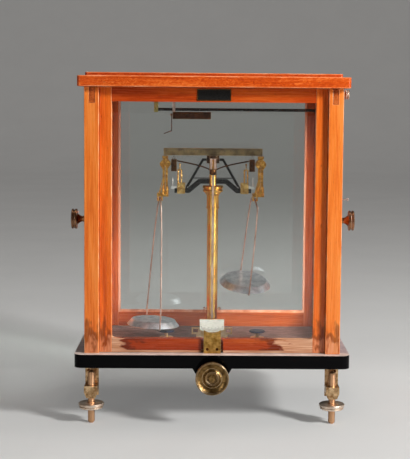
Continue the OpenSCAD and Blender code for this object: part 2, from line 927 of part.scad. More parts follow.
// The fixed half of a hinge: its leaf, its two outer knuckles and its pin
module hinge_fixed(z) {
    leaf_y = hinge_y + play;
    for (low = [z, z + 2 * knuckle_h]) {
        knuckle(low, low + knuckle_h);
        difference() {
            box(case_x, case_x + leaf_t, leaf_y, leaf_y + leaf_w, low, low + knuckle_h);
            rod_z(hinge_pin_d + 2 * fit, hinge_x, hinge_y, low - cut, low + knuckle_h + cut);
        }
    }
    box(case_x, case_x + leaf_t, leaf_y + hinge_d / 2, leaf_y + leaf_w, z, z + hinge_h);
    rod_z(hinge_pin_d, hinge_x, hinge_y, z - 1, z + hinge_h + 1);
}

// The moving half of a hinge: its leaf and its middle knuckle
module hinge_moving(z) {
    leaf_y = hinge_y - play;
    low = z + knuckle_h + knuckle_gap;
    high = z + 2 * knuckle_h - knuckle_gap;
    knuckle(low, high);
    difference() {
        box(case_x, case_x + leaf_t, leaf_y - leaf_w, leaf_y, low, high);
        rod_z(hinge_pin_d + 2 * fit, hinge_x, hinge_y, low - cut, high + cut);
    }
    box(case_x, case_x + leaf_t, leaf_y - leaf_w, leaf_y - hinge_d / 2, z, z + hinge_h);
}

module post_hinges() {
    color("#b98d48") both_sides() for (z = hinge_levels) hinge_fixed(z);
}

module rider_rail() {
    color("#141414") rod_x(rail_d, left_bracket_x + rail_bracket_w / 2,
        right_bracket_x + rail_bracket_w / 2, mid_y, rail_z);
}

// A hanger from the top board with the rail's seat; the right one also lets the rod by
module rider_bracket(x) {
    half = rail_bracket_t / 2;
    difference() {
        box(x, x + rail_bracket_w, mid_y - half, mid_y + half,
            rail_z - rail_d / 2 - rail_bracket_foot, ceil_z);
        rod_x(rail_d + 2 * fit, x - cut, x + rail_bracket_w + cut, mid_y, rail_z);
        rod_x(control_d + 2 * fit, x - cut, x + rail_bracket_w + cut, mid_y, control_z);
    }
}

module rider_brackets() {
    color("#d2b46c") for (x = [left_bracket_x, right_bracket_x]) rider_bracket(x);
}

module sash_stiles() {
    color("#c2571f") difference() {
        both_sides() {
            box(sash_in, sash_x, sash_y0, sash_y1, sash_z0, sash_z1);
            box(sash_x - cut, sash_x + tongue_reach, sash_mid - tongue_t / 2,
                sash_mid + tongue_t / 2, sash_z0, sash_z1);
        }
        pane_y_groove(sash_in, sash_mid, sash_open_z0, sash_open_z1);
    }
}

// A cove in a lower corner of the sash's opening
module corner_cove() {
    difference() {
        box(sash_in - cove_r, sash_in, sash_y0, sash_y1, sash_open_z0 - cut, sash_open_z0 + cove_r);
        rod_y(2 * cove_r, sash_in - cove_r, sash_y0 - cut, sash_y1 + cut, sash_open_z0 + cove_r);
    }
}

module sash_rails() {
    color("#b84c18") difference() {
        union() {
            box(-sash_in, sash_in, sash_y0, sash_y1, sash_z0, sash_open_z0);
            box(-sash_in, sash_in, sash_y0, sash_y1, sash_open_z1, sash_z1);
            both_sides() corner_cove();
        }
        pane_y_groove(sash_in, sash_mid, sash_open_z0, sash_open_z1);
        box(-notch_w / 2, notch_w / 2, sash_y0 - cut, sash_y1 - notch_web,
            sash_z0 - cut, sash_open_z0 - glass_bite - 2);
        box(-notch_w / 2, notch_w / 2, sash_y0 - cut, sash_mid - glass_t / 2 - play,
            sash_z0 - cut, sash_open_z0 + cut);
        box(-sash_in - cut, sash_in + cut, sash_y0 - cut, sash_y0 + quirk_w,
            sash_z0 + quirk_rise, sash_z0 + quirk_rise + quirk_w);
    }
}

module sash_glass() {
    color("#c8dcd8", 0.25) pane_y(sash_in, sash_mid, sash_open_z0, sash_open_z1);
}

module nameplate() {
    inner_w = plate_w / 2 - plate_rim;
    inner_h = plate_h / 2 - plate_rim;
    color("#101010") box(-inner_w, inner_w, sash_y0 - plate_t + fit, sash_y0,
        plate_z - inner_h, plate_z + inner_h);
}

// The brass border of the nameplate
module nameplate_rim() {
    inner_w = plate_w / 2 - plate_rim;
    inner_h = plate_h / 2 - plate_rim;
    color("#c9a35a") difference() {
        box(-plate_w / 2, plate_w / 2, sash_y0 - plate_t, sash_y0,
            plate_z - plate_h / 2, plate_z + plate_h / 2);
        box(-inner_w, inner_w, sash_y0 - plate_t - cut, sash_y0 + cut,
            plate_z - inner_h, plate_z + inner_h);
    }
}

// The groove that takes a door's pane
module door_groove() {
    edge = glass_bite + play;
    side = glass_t / 2 + play;
    box(door_mid - side, door_mid + side, door_y0 + door_stile_w - edge,
        door_y1 - door_stile_w + edge, door_z0 + door_rail_h - edge, door_z1 - door_rail_h + edge);
}

module door_stiles() {
    color("#bd5722") difference() {
        union() {
            box(door_x0, case_x, door_y0, door_y0 + door_stile_w, door_z0, door_z1);
            box(door_x0, case_x, door_y1 - door_stile_w, door_y1, door_z0, door_z1);
        }
        door_groove();
    }
}

module door_rails() {
    y0 = door_y0 + door_stile_w;
    y1 = door_y1 - door_stile_w;
    color("#bd5722") difference() {
        union() {
            box(door_x0, case_x, y0, y1, door_z0, door_z0 + door_rail_h);
            box(door_x0, case_x, y0, y1, door_z1 - door_rail_h, door_z1);
        }
        door_groove();
    }
}

module door_glass() {
    color("#c8dcd8", 0.25) box(door_mid - glass_t / 2, door_mid + glass_t / 2,
        door_y0 + door_stile_w - glass_bite, door_y1 - door_stile_w + glass_bite,
        door_z0 + door_rail_h - glass_bite, door_z1 - door_rail_h + glass_bite);
}

// A turned door knob with a conical hub and two rims
module door_knob() {
    r = door_knob_d / 2;
    l = door_knob_out;
    translate([case_x, door_knob_y, door_knob_z]) rotate([0, 90, 0]) turned([
        [0, 0], [7.5, 0], [7.2, 1.6], [5, 3], [4.5, 6], [5.6, 9.5], [9.5, l - 9.5], [r, l - 8.6],
        [r, l - 6], [r - 1.5, l - 5.2], [r - 1.5, l - 3.6], [r, l - 2.8], [r, l - 0.9],
        [r - 1.2, l], [0, l]
    ]);
}

module door_fittings() {
    color("#7a5230") {
        door_knob();
        for (z = hinge_levels) hinge_moving(z);
    }
}

module left_door_stiles() mirror([1, 0, 0]) door_stiles();
module left_door_rails() mirror([1, 0, 0]) door_rails();
module left_door_glass() mirror([1, 0, 0]) door_glass();
module left_door_fittings() mirror([1, 0, 0]) door_fittings();
module right_door_stiles() door_stiles();
module right_door_rails() door_rails();
module right_door_glass() door_glass();
module right_door_fittings() door_fittings();

// The dished knob, its rim and rings towards the front
module arrest_knob() {
    r = knob_d / 2;
    color("#8c7346") translate([0, base_y0 - knob_out, shaft_z]) rotate([-90, 0, 0]) turned([
        [0, 5.6], [7.6, 5.2], [9, 2.8], [11.2, 2.4], [12.8, 4.6], [16, 6], [20, 5.4],
        [r - 3, 3], [r - 2.2, 0.5], [r - 0.8, 0], [r, 1], [r, 8.5], [r - 1.4, 10.5],
        [13, 12.5], [11, 16], [11, knob_out - play], [0, knob_out - play]
    ]);
}

// Radius of the lifting cam at an angle from its highest point
function cam_radius(a) = cam_r - arrest_travel * min(max(a, 0), 90) / 90;

// The shaft behind the knob with its cam under the lifting frame
module knob_shaft() {
    cam_step = 6;
    cam_y0 = mid_y - cam_t / 2;
    cam_points = [for (a = [-90:cam_step:180]) cam_radius(a) * [sin(a), cos(a)]];
    color("#8f8064") {
        rod_y(knob_shaft_d, 0, base_y0 - play, shaft_y1, shaft_z);
        translate([0, cam_y0 + cam_t, shaft_z]) rotate([90, 0, 0])
            linear_extrude(cam_t) polygon(cam_points);
    }
}

// The bridge under the base, the rod in the column and the stems of the pan rests
module lifting_frame() {
    bridge_x = rest_x + stem_d;
    bridge_z1 = bridge_z0 + bridge_t;
    color("#b09a6a") {
        box(-bridge_x, bridge_x, mid_y - bridge_w / 2, mid_y + bridge_w / 2, bridge_z0, bridge_z1);
        rod_z(rod_d, 0, mid_y, bridge_z1 - fit, arrest_mid_z0);
        both_sides() rod_z(stem_d, rest_x, mid_y, bridge_z1 - fit, rest_z0);
    }
}

module rest_pads() {
    r = rest_d / 2;
    color("#1c2230") both_sides() translate([rest_x, mid_y, rest_z0]) turned([
        [0, 0], [r - 4, 0], [r, 1.4], [r, rest_pad_t - 1.2], [r - 1.4, rest_pad_t], [0, rest_pad_t]
    ]);
}

// The black bar: level over the column, bent down to its level ends
module arrest_bar() {
    half = arrest_bar_t / 2;
    top = arrest_mid_z0 + arrest_bar_h;
    low = arrest_end_z0;
    ridge = [
        [arrest_flat_x - 2, arrest_mid_z0], [arrest_knee_x - 2, low], [arrest_end_x, low],
        [arrest_end_x, low + arrest_bar_h], [arrest_knee_x + 2, low + arrest_bar_h],
        [arrest_flat_x + 2, top]
    ];
    mirrored = [for (i = [len(ridge) - 1:-1:0]) [-ridge[i][0], ridge[i][1]]];
    color("#101214") front_plate(concat(ridge, mirrored), mid_y - half, mid_y + half);
}

// The thin black bars behind the neck that rise from the bar's shoulders
module arrest_struts() {
    y0 = strut_y0;
    y1 = strut_y0 + strut_t;
    foot_z = arrest_end_z0 + arrest_bar_h + 2;
    top_z = knife_z;
    slope = (top_z - foot_z) / (strut_foot_x - strut_top_x);
    in_x = strut_w * sqrt(1 + slope * slope) / slope;
    low_z = top_z - strut_w;
    brace_z = foot_z + brace_rise;
    brace_x = strut_foot_x - in_x - brace_rise / slope + brace_bite;
    outer = [[strut_foot_x, foot_z], [strut_top_x, top_z]];
    inner = [[strut_top_x - 2.2, low_z], [strut_foot_x - in_x, foot_z]];
    left = [for (p = [outer[1], outer[0], inner[1], inner[0]]) [-p[0], p[1]]];
    color("#101214") {
        front_plate(concat(outer, left, [inner[0], inner[1]]), y0, y1);
        rod_x(brace_d, -brace_x, brace_x, (y0 + y1) / 2, brace_z);
        both_sides() box(arrest_knee_x + 2 + play, strut_foot_x, mid_y - arrest_bar_t / 2, y1,
            foot_z - 2, foot_z + fit);
    }
}

// Height of the supports' tops, just clear of the beam's ties at the end of its swing
function support_top() = let (x = support_x + support_shift - support_ball_d / 2)
    tie_z(x) - 0.55 * tie_t - x * sin(beam_swing) - play;

// The brass clips on the bar, each with two rods and a ball tip that rise under the beam
module beam_supports() {
    half_w = support_block_w / 2;
    half_d = support_block_d / 2;
    z0 = arrest_end_z0 - 1;
    z1 = z0 + support_block_h;
    yoke_z = z1 + support_rod_h;
    yoke_half = support_gap + support_rod_d / 2;
    rods_x = support_x + support_shift;
    ball_z = support_top() - support_ball_d / 2;
    color("#d3a552") both_sides() {
        difference() {
            box(support_x - half_w, support_x + half_w, mid_y - half_d, mid_y + half_d, z0, z1);
            box(support_x - half_w - cut, support_x + half_w + cut, mid_y - arrest_bar_t / 2,
                mid_y + arrest_bar_t / 2, z0 - cut, arrest_end_z0 + arrest_bar_h);
        }
        for (x = [-support_gap, support_gap])
            rod_z(support_rod_d, rods_x + x, mid_y, z1 - fit, yoke_z + fit);
        box(rods_x - yoke_half, rods_x + yoke_half, mid_y - support_rod_d / 2,
            mid_y + support_rod_d / 2, yoke_z, yoke_z + support_neck_d);
        rod_z(support_neck_d, rods_x, mid_y, yoke_z, ball_z);
        translate([rods_x, mid_y, ball_z]) sphere(d = support_ball_d);
    }
}

// The bright tips on the bar's ends that steady the stirrups
module stirrup_stops() {
    top = arrest_end_z0 + arrest_bar_h;
    z1 = top + stop_up;
    color("#dcdcd8") both_sides() {
        box(arrest_end_x - stop_back, arrest_end_x + stop_out, mid_y - stop_half,
            mid_y + stop_half, top, z1);
        box(arrest_end_x, arrest_end_x + stop_out, mid_y - stop_half, mid_y + stop_half,
            top - stop_down, top + fit);
        rod_z(stop_pin_d, arrest_end_x + stop_out / 2, mid_y, z1 - fit, z1 + stop_pin_h);
    }
}

module rider_bar() {
    color("#6b6044") box(-rider_bar_x, rider_bar_x, mid_y - rider_bar_t / 2,
        mid_y + rider_bar_t / 2, rider_bar_z0, rider_bar_z0 + rider_bar_h);
}

// Height of a tie rod's middle line at a distance from the centre
function tie_z(x) = tie_mid_z + (tie_end_z - tie_mid_z)
    * pow((x - tie_mid_x) / (tie_end_x - tie_mid_x), 0.6);

// The curved ties, the hub under them and the web up to the centre block
module beam_truss() {
    steps = 12;
    half = tie_t / 2;
    xs = [for (i = [0:steps]) tie_mid_x - 2 + (tie_end_x - tie_mid_x + 2) * i / steps];
    upper = [for (x = xs) [x, tie_z(max(x, tie_mid_x)) + half]];
    lower = [for (i = [steps:-1:0]) [xs[i], tie_z(max(xs[i], tie_mid_x)) - half]];
    color("#4a3826") {
        both_sides() front_plate(concat(upper, lower), mid_y - half, mid_y + half);
        rod_y(hub_d, 0, mid_y - beam_t / 2, mid_y + beam_t / 2, tie_mid_z);
        box(-web_w / 2, web_w / 2, mid_y - half, mid_y + half, tie_mid_z, block_z0);
    }
}

// The dark centre block round the knife with its yoke, and the blocks at the beam's ends
module beam_blocks() {
    half = beam_t / 2;
    end_half = end_block_t / 2;
    yoke_back = pointer_y + yoke_t / 2;
    color("#33261b") {
        box(-yoke_x, yoke_x, pointer_y - yoke_t / 2, yoke_back, yoke_z0, rider_bar_z0);
        both_sides() box(yoke_x - yoke_arm_w, yoke_x, yoke_back - fit, mid_y - half + fit,
            yoke_z0, rider_bar_z0);
        difference() {
            box(-block_w / 2, block_w / 2, mid_y - half, mid_y + half, block_z0, rider_bar_z0);
            box(-knife_w / 2 - fit, knife_w / 2 + fit, mid_y - half - cut, mid_y + half + cut,
                knife_z - 1, rider_bar_z0 + cut);
        }
        both_sides() box(end_block_x0, end_block_x1, mid_y - end_half, mid_y + end_half,
            end_block_z0, end_block_z1);
    }
}

// A knife along Y with its edge at the knife line, up or down
module knife(x, length, height, up) {
    half = knife_w / 2;
    back = knife_z + (up ? -height : height);
    root = knife_z + (up ? -half : half);
    front_plate([[x - half, back], [x - half, root], [x, knife_z], [x + half, root],
        [x + half, back]], mid_y - length / 2, mid_y + length / 2);
}

// The three knives, the arms to the end knives and the bright wedges over the end blocks
module beam_knives() {
    arm_z1 = end_arm_z0 + end_arm_h;
    wedge_x = (end_block_x0 + end_block_x1) / 2;
    color("#cfd2d2") {
        knife(0, knife_l, centre_knife_h, false);
        both_sides() {
            knife(arm, end_knife_l, knife_z - arm_z1 + fit, true);
            box(end_block_x1, arm + knife_w / 2, mid_y - end_arm_t / 2, mid_y + end_arm_t / 2,
                end_arm_z0, arm_z1);
            front_plate([[wedge_x - wedge_w / 2, end_block_z1], [wedge_x + wedge_w / 2, end_block_z1],
                [wedge_x + wedge_top_w / 2, rider_bar_z0],
                [wedge_x - wedge_top_w / 2, rider_bar_z0]],
                mid_y - wedge_t / 2, mid_y + wedge_t / 2);
        }
    }
}

// The two strips in front of the prong and the blade down to the scale
module pointer() {
    color("#c98f74") {
        both_sides() box(strip_x0, strip_x0 + strip_w, pointer_y - yoke_t / 2,
            pointer_y + yoke_t / 2, strip_z0, yoke_z0);
        box(-pointer_w / 2, pointer_w / 2, pointer_y - pointer_t / 2, pointer_y + pointer_t / 2,
            pointer_z0, bob_z0);
    }
}

module pointer_bob() {
    r = bob_d / 2;
    color("#6e4626") translate([0, pointer_y, bob_z0]) turned([
        [0, 0], [r - 2.4, 0], [r - 0.6, 1.4], [r, 3.4], [r, bob_h - 3.4], [r - 0.6, bob_h - 1.4],
        [r - 1.6, bob_h], [0, bob_h]
    ]);
}

// One cheek of a stirrup: a neck under the plane, broad shoulders and a slotted waist
module cheek(y0, y1) {
    half = stirrup_w / 2;
    top = crossbar_z1;
    foot = stirrup_z0 + bridge_foot_h;
    shoulder = knife_z - 11;
    waist = shoulder - 7;
    right = [
        [neck_half, top], [neck_half, shoulder + 10], [half - 2.8, shoulder + 7.5],
        [half, shoulder + 3.5], [half, shoulder], [waist_half, waist], [waist_half, foot + 12],
        [foot_half, foot + 6], [foot_half, foot]
    ];
    left = [for (i = [len(right) - 1:-1:0]) [-right[i][0], right[i][1]]];
    difference() {
        front_plate(concat(right, left), y0, y1);
        box(-cheek_slot / 2, cheek_slot / 2, y0 - cut, y1 + cut, foot + 4, shoulder - 2);
    }
}

// The strap from a cheek's waist down to the arm of the hook
module stirrup_strap(y0, y1) {
    foot = stirrup_z0 + bridge_foot_h;
    top = foot + strap_h;
    front_plate([
        [-waist_half + fit, top], [-waist_half + fit, top - strap_w],
        [hook_shift + strap_w / 2, foot - fit], [hook_shift - strap_w / 2, foot - fit]
    ], y0, y1);
}

// A stirrup with its plane over the knife and the pinned hook under its foot
module stirrup(side, twist) {
    pin_half = lug_gap / 2 + hook_lug_t;
    foot = stirrup_z0 + bridge_foot_h;
    boss_z = knife_z - 6.5;
    color("#d9a845") translate([side * arm, 0, 0]) {
        cheek(mid_y - cheek_out, mid_y - cheek_in);
        cheek(mid_y + cheek_in, mid_y + cheek_out);
        stirrup_strap(mid_y - cheek_out, mid_y - cheek_in);
        box(-crossbar_w / 2, crossbar_w / 2, mid_y - cheek_in - fit, mid_y + cheek_in + fit,
            knife_z + knife_gap, crossbar_z1);
        box(hook_arm_end, foot_half, mid_y - cheek_out, mid_y + cheek_out, stirrup_z0, foot + fit);
        for (x = boss_x)
            rod_y(boss_d, x, mid_y - cheek_out - head_t, mid_y - cheek_out + fit, boss_z);
        for (x = [-leg_x, leg_x])
            rod_z(leg_d, x, mid_y - cheek_out - head_t, foot - leg_drop, foot + leg_rise);
        translate([hook_shift, mid_y, 0]) rotate([0, 0, twist]) {
            for (x = [-1, 1]) translate([x * (lug_gap + hook_lug_t) / 2, 0, 0])
                box(-hook_lug_t / 2, hook_lug_t / 2, -hook_lug_w / 2, hook_lug_w / 2,
                    hook_pin_z - 2, stirrup_z0 + fit);
            rod_x(hook_pin_d, -pin_half, pin_half, 0, hook_pin_z);
        }
    }
}

module left_stirrup() stirrup(-1, left_twist);
module right_stirrup() stirrup(1, right_twist);

// Puts a suspension under its pin: turned, swung back and leaning
module hang(pin_x, twist, tilt, lean) {
    translate([pin_x, mid_y, hook_pin_z]) rotate([0, 0, twist]) rotate([tilt, 0, 0])
        rotate([0, lean, 0]) children();
}

// Half width of a bail at a share of its drop
function bail_y(share, bulge) = arch_r
    + (bail_half - arch_r) * pow(min(share / straight_share, 1), bulge);

// The points of one leg from the arch down to the hook under the pan's rim
function bail_leg(drop, bulge) = let (
    arch = [for (i = [0:arch_steps]) arch_r * [0, sin(90 * i / arch_steps), cos(90 * i / arch_steps)]],
    run = [for (i = [1:leg_steps]) [0, bail_y(pow(i / leg_steps, 1.4), bulge),
        -drop * pow(i / leg_steps, 1.4)]],
    hook = [for (a = [30:30:90]) [0, pan_d / 2 + rim_gap * cos(a), -drop - rim_gap * sin(a)]],
    tip = [[0, pan_d / 2 - hook_in, -drop - rim_gap]]
) concat(arch, run, hook, tip);

// The whole bail, from one hook over the arch to the other
function bail_path(drop, bulge) = let (leg = bail_leg(drop, bulge)) concat(
    [for (i = [len(leg) - 1:-1:1]) [0, -leg[i][1], leg[i][2]]], leg
);

// The direction of a path in the Y-Z plane at one of its points
function path_angle(path, i) = let (
    a = path[max(i - 1, 0)],
    b = path[min(i + 1, len(path) - 1)]
) atan2(b[2] - a[2], b[1] - a[1]);

// A ring of points round a path's point, square to it
function path_ring(path, i) = let (turn = path_angle(path, i)) [
    for (k = [0:wire_sides - 1]) let (
        a = 360 * k / wire_sides,
        side = wire_d / 2 * cos(a),
        across = wire_d / 2 * sin(a)
    ) path[i] + [side, -across * sin(turn), across * cos(turn)]
];

// A wire along a path in the Y-Z plane
module wire_sweep(path) {
    rings = len(path);
    last = rings * wire_sides;
    points = concat([for (i = [0:rings - 1]) each path_ring(path, i)], [path[0], path[rings - 1]]);
    walls = [for (i = [0:rings - 2], k = [0:wire_sides - 1]) let (
        n = (k + 1) % wire_sides,
        a = i * wire_sides,
        b = a + wire_sides
    ) each [[a + k, b + n, b + k], [a + k, a + n, b + n]]];
    near = [for (k = [0:wire_sides - 1]) [last, (k + 1) % wire_sides, k]];
    far = [for (k = [0:wire_sides - 1]) let (a = last - wire_sides)
        [last + 1, a + k, a + (k + 1) % wire_sides]];
    polyhedron(points, concat(walls, near, far), convexity = 6);
}

module left_bail() {
    color("#b9a394") hang(left_pin_x, left_twist, left_tilt, left_lean)
        wire_sweep(bail_path(left_drop, left_bulge));
}

module right_bail() {
    color("#b9a394") hang(right_pin_x, right_twist, right_tilt, right_lean)
        wire_sweep(bail_path(right_drop, right_bulge));
}

// A pan: a flat top whose skirt spreads to a wider rim
module pan(drop) {
    r = pan_d / 2;
    t = pan_top_d / 2;
    w = pan_wall;
    translate([0, 0, -drop]) turned([
        [0, pan_h - w], [t - w, pan_h - w], [r - w - 0.4, 0.8], [r - w, 0], [r, 0], [r, 0.9],
        [t + 0.3, pan_h - 0.4], [t - 0.4, pan_h], [t - 2, pan_h], [t - 2.6, pan_h - 0.4],
        [0, pan_h - 0.4]
    ]);
}

module left_pan() {
    color("#c9cdc8") hang(left_pin_x, left_twist, left_tilt, left_lean) pan(left_drop);
}

module right_pan() {
    color("#c9cdc8") hang(right_pin_x, right_twist, right_tilt, right_lean) pan(right_drop);
}

// The upright that runs on the rail and holds the control rod
module rider_carriage() {
    half = carriage_t / 2;
    x1 = carriage_x0 + carriage_w;
    color("#cdb0a0") difference() {
        box(carriage_x0, x1, mid_y - half, mid_y + half, carriage_z0, carriage_z1);
        rod_x(rail_d + 2 * fit, carriage_x0 - cut, x1 + cut, mid_y, rail_z);
        rod_x(control_d + knife_gap, carriage_x0 - cut, x1 + cut, mid_y, control_z);
    }
}

// The dark bar under the carriage and the pivot of the hook at its left end
module carriage_bar() {
    half = carriage_bar_t / 2;
    color("#6a4a22") {
        box(carriage_x0, carriage_x0 + carriage_l, mid_y - half, mid_y + half,
            carriage_z0 - carriage_h, carriage_z0);
        rod_x(hook_pivot_d, carriage_x0 - hook_eye_w - 1, carriage_x0 + fit, mid_y, hook_pivot_z);
        rod_x(hook_pivot_d + 2, carriage_x0 - hook_eye_w - 2, carriage_x0 - hook_eye_w - 1,
            mid_y, hook_pivot_z);
    }
}

// The rod through the side of the case and the knob outside it
module control_rod() {
    r = rider_knob_d / 2;
    w = rider_knob_w;
    color("#8c7346") {
        rod_x(control_d, carriage_x0, rider_knob_x + fit, mid_y, control_z);
        translate([rider_knob_x, mid_y, control_z]) rotate([0, 90, 0]) turned([
            [0, 0], [4.5, 0], [5.5, 0.8], [r - 0.6, 0.8], [r, 1.6], [r, 2.8], [r - 2, 3.4],
            [r - 2, 4.6], [r, 5.2], [r, 6.6], [r - 1.4, w], [0, w]
        ]);
    }
}

// The wire hook that carries the rider
module rider_hook() {
    x = carriage_x0 - hook_eye_w / 2 - 0.4;
    eye_x0 = x - hook_eye_w / 2 + 0.2;
    wire_z1 = hook_pivot_z - hook_eye_d / 2 + 0.3;
    low_z = carriage_z0 - carriage_h - hook_drop + hook_kick_drop;
    color("#4a3a2a") {
        difference() {
            rod_x(hook_eye_d, eye_x0, eye_x0 + hook_eye_w - 0.4, mid_y, hook_pivot_z);
            rod_x(hook_pivot_d + 2 * fit, eye_x0 - cut, eye_x0 + hook_eye_w + cut, mid_y,
                hook_pivot_z);
        }
        rod_z(hook_wire_d, x, mid_y, low_z, wire_z1);
        wire(hook_wire_d, [x, mid_y, low_z], [x - hook_kick, mid_y, low_z - hook_kick_drop],
            hook_bead_d);
    }
}

// A levelling screw with its grooved disc
module foot_screw(side) {
    s = foot_screw_d / 2;
    r = disc_d / 2;
    z = disc_lift;
    h = disc_t;
    top = base_lift - 8;
    color("#c9a06a") translate([side * foot_x, foot_y, 0]) turned([
        [0, 0], [3.4, 0], [s, 3], [s, z], [r - 3, z], [r - 1.4, z + 1], [r - 1.4, z + 2.8],
        [r - 3.2, z + 3.4], [r - 3.2, z + 4.8], [r, z + 5.4], [r, z + h - 1], [r - 0.8, z + h],
        [s, z + h], [s, top - s], [s * 0.87, top - s / 2],
        [s / 2, top - s * 0.13], [0, top]
    ]);
}

module left_foot_screw() foot_screw(-1);
module right_foot_screw() foot_screw(1);

base_plate();
posts();
side_rails();
rear_stiles();
rear_rails();
rear_beads();
rear_glass();
top_board();
top_panel();
foot_brackets();
rear_foot();
column();
brass_fittings();
steel_pins();
agate_planes();
index_stand();
ivory_scale();
sash_keeper();
post_hinges();
rider_rail();
rider_brackets();
sash_stiles();
sash_rails();
sash_glass();
nameplate();
nameplate_rim();
left_door_stiles();
left_door_rails();
left_door_glass();
left_door_fittings();
right_door_stiles();
right_door_rails();
right_door_glass();
right_door_fittings();
arrest_knob();
knob_shaft();
lifting_frame();
rest_pads();
arrest_bar();
arrest_struts();
beam_supports();
stirrup_stops();
rider_bar();
beam_truss();
beam_blocks();
beam_knives();
pointer();
pointer_bob();
left_stirrup();
right_stirrup();
left_bail();
right_bail();
left_pan();
right_pan();
rider_carriage();
carriage_bar();
control_rod();
rider_hook();
left_foot_screw();
right_foot_screw();
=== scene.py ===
import json
import math

import bmesh
import bpy
from mathutils import Matrix, Vector

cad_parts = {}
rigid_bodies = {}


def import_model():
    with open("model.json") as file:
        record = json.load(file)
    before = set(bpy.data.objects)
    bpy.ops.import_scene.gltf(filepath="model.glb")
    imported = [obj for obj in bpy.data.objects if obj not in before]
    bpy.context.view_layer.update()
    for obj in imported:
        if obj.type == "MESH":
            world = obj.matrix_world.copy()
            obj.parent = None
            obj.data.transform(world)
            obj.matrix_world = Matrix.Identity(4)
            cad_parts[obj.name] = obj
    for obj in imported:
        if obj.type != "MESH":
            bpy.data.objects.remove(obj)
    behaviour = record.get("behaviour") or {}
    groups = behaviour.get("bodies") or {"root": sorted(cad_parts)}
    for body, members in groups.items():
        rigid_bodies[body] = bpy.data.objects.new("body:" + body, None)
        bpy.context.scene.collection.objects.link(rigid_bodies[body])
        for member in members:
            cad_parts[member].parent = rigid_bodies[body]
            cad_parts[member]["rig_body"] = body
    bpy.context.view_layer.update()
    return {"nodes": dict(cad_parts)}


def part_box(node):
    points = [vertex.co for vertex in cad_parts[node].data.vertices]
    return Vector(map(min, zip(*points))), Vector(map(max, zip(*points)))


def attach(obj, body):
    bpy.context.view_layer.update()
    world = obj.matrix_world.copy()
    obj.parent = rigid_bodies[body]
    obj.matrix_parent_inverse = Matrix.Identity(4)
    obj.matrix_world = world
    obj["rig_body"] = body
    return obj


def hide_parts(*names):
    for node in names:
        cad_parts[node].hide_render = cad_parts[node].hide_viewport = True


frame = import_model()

nodes = frame["nodes"]
MM = 0.001

# Planes of the case that the finishes are placed by
DECK_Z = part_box("base_plate")[1].z
CASE_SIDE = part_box("posts")[1].x
CASE_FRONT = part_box("posts")[0].y

# An edge that turns by more than this is a sharp one
SHARP = math.radians(32)


def colour(code, alpha=1.0):
    """A colour written as sRGB hex, turned to the linear numbers that sockets take."""
    parts = [int(code[i:i + 2], 16) / 255 for i in (1, 3, 5)]
    return tuple(p / 12.92 if p <= 0.04045 else ((p + 0.055) / 1.055) ** 2.4 for p in parts) + (alpha,)


def add(tree, kind, links=None, stops=None, **settings):
    """Adds a node with its settings, its sockets' values or links, and a ramp's stops."""
    node = tree.nodes.new(kind)
    for name, value in settings.items():
        setattr(node, name, value)
    for socket, value in (links or {}).items():
        if isinstance(value, bpy.types.NodeSocket):
            tree.links.new(value, node.inputs[socket])
        else:
            node.inputs[socket].default_value = value
    if stops:
        elements = node.color_ramp.elements
        while len(elements) < len(stops):
            elements.new(1)
        for element, (place, shade) in zip(elements, stops):
            element.position = place
            element.color = colour(shade)
    return node


def new_material(name):
    """An empty material: its tree, its Principled shader and its output."""
    material = bpy.data.materials.new(name)
    material.use_nodes = True
    tree = material.node_tree
    tree.nodes.clear()
    surface = add(tree, "ShaderNodeBsdfPrincipled")
    output = add(tree, "ShaderNodeOutputMaterial", {"Surface": surface.outputs[0]})
    return material, tree, surface, output


# Finishes

def drawn_out(tree, where, grain, across, along, detail, push=0.0):
    """Noise stretched along the grain. Its patches are across by along millimetres, and push bends
    them."""
    size = [1 / (across * MM)] * 3
    size["XYZ".index(grain)] = 1 / (along * MM)
    place = add(tree, "ShaderNodeMapping", {"Vector": where, "Scale": size})
    return add(tree, "ShaderNodeTexNoise", {
        "Vector": place.outputs[0], "Scale": 1.0, "Detail": detail, "Distortion": push}).outputs[0]


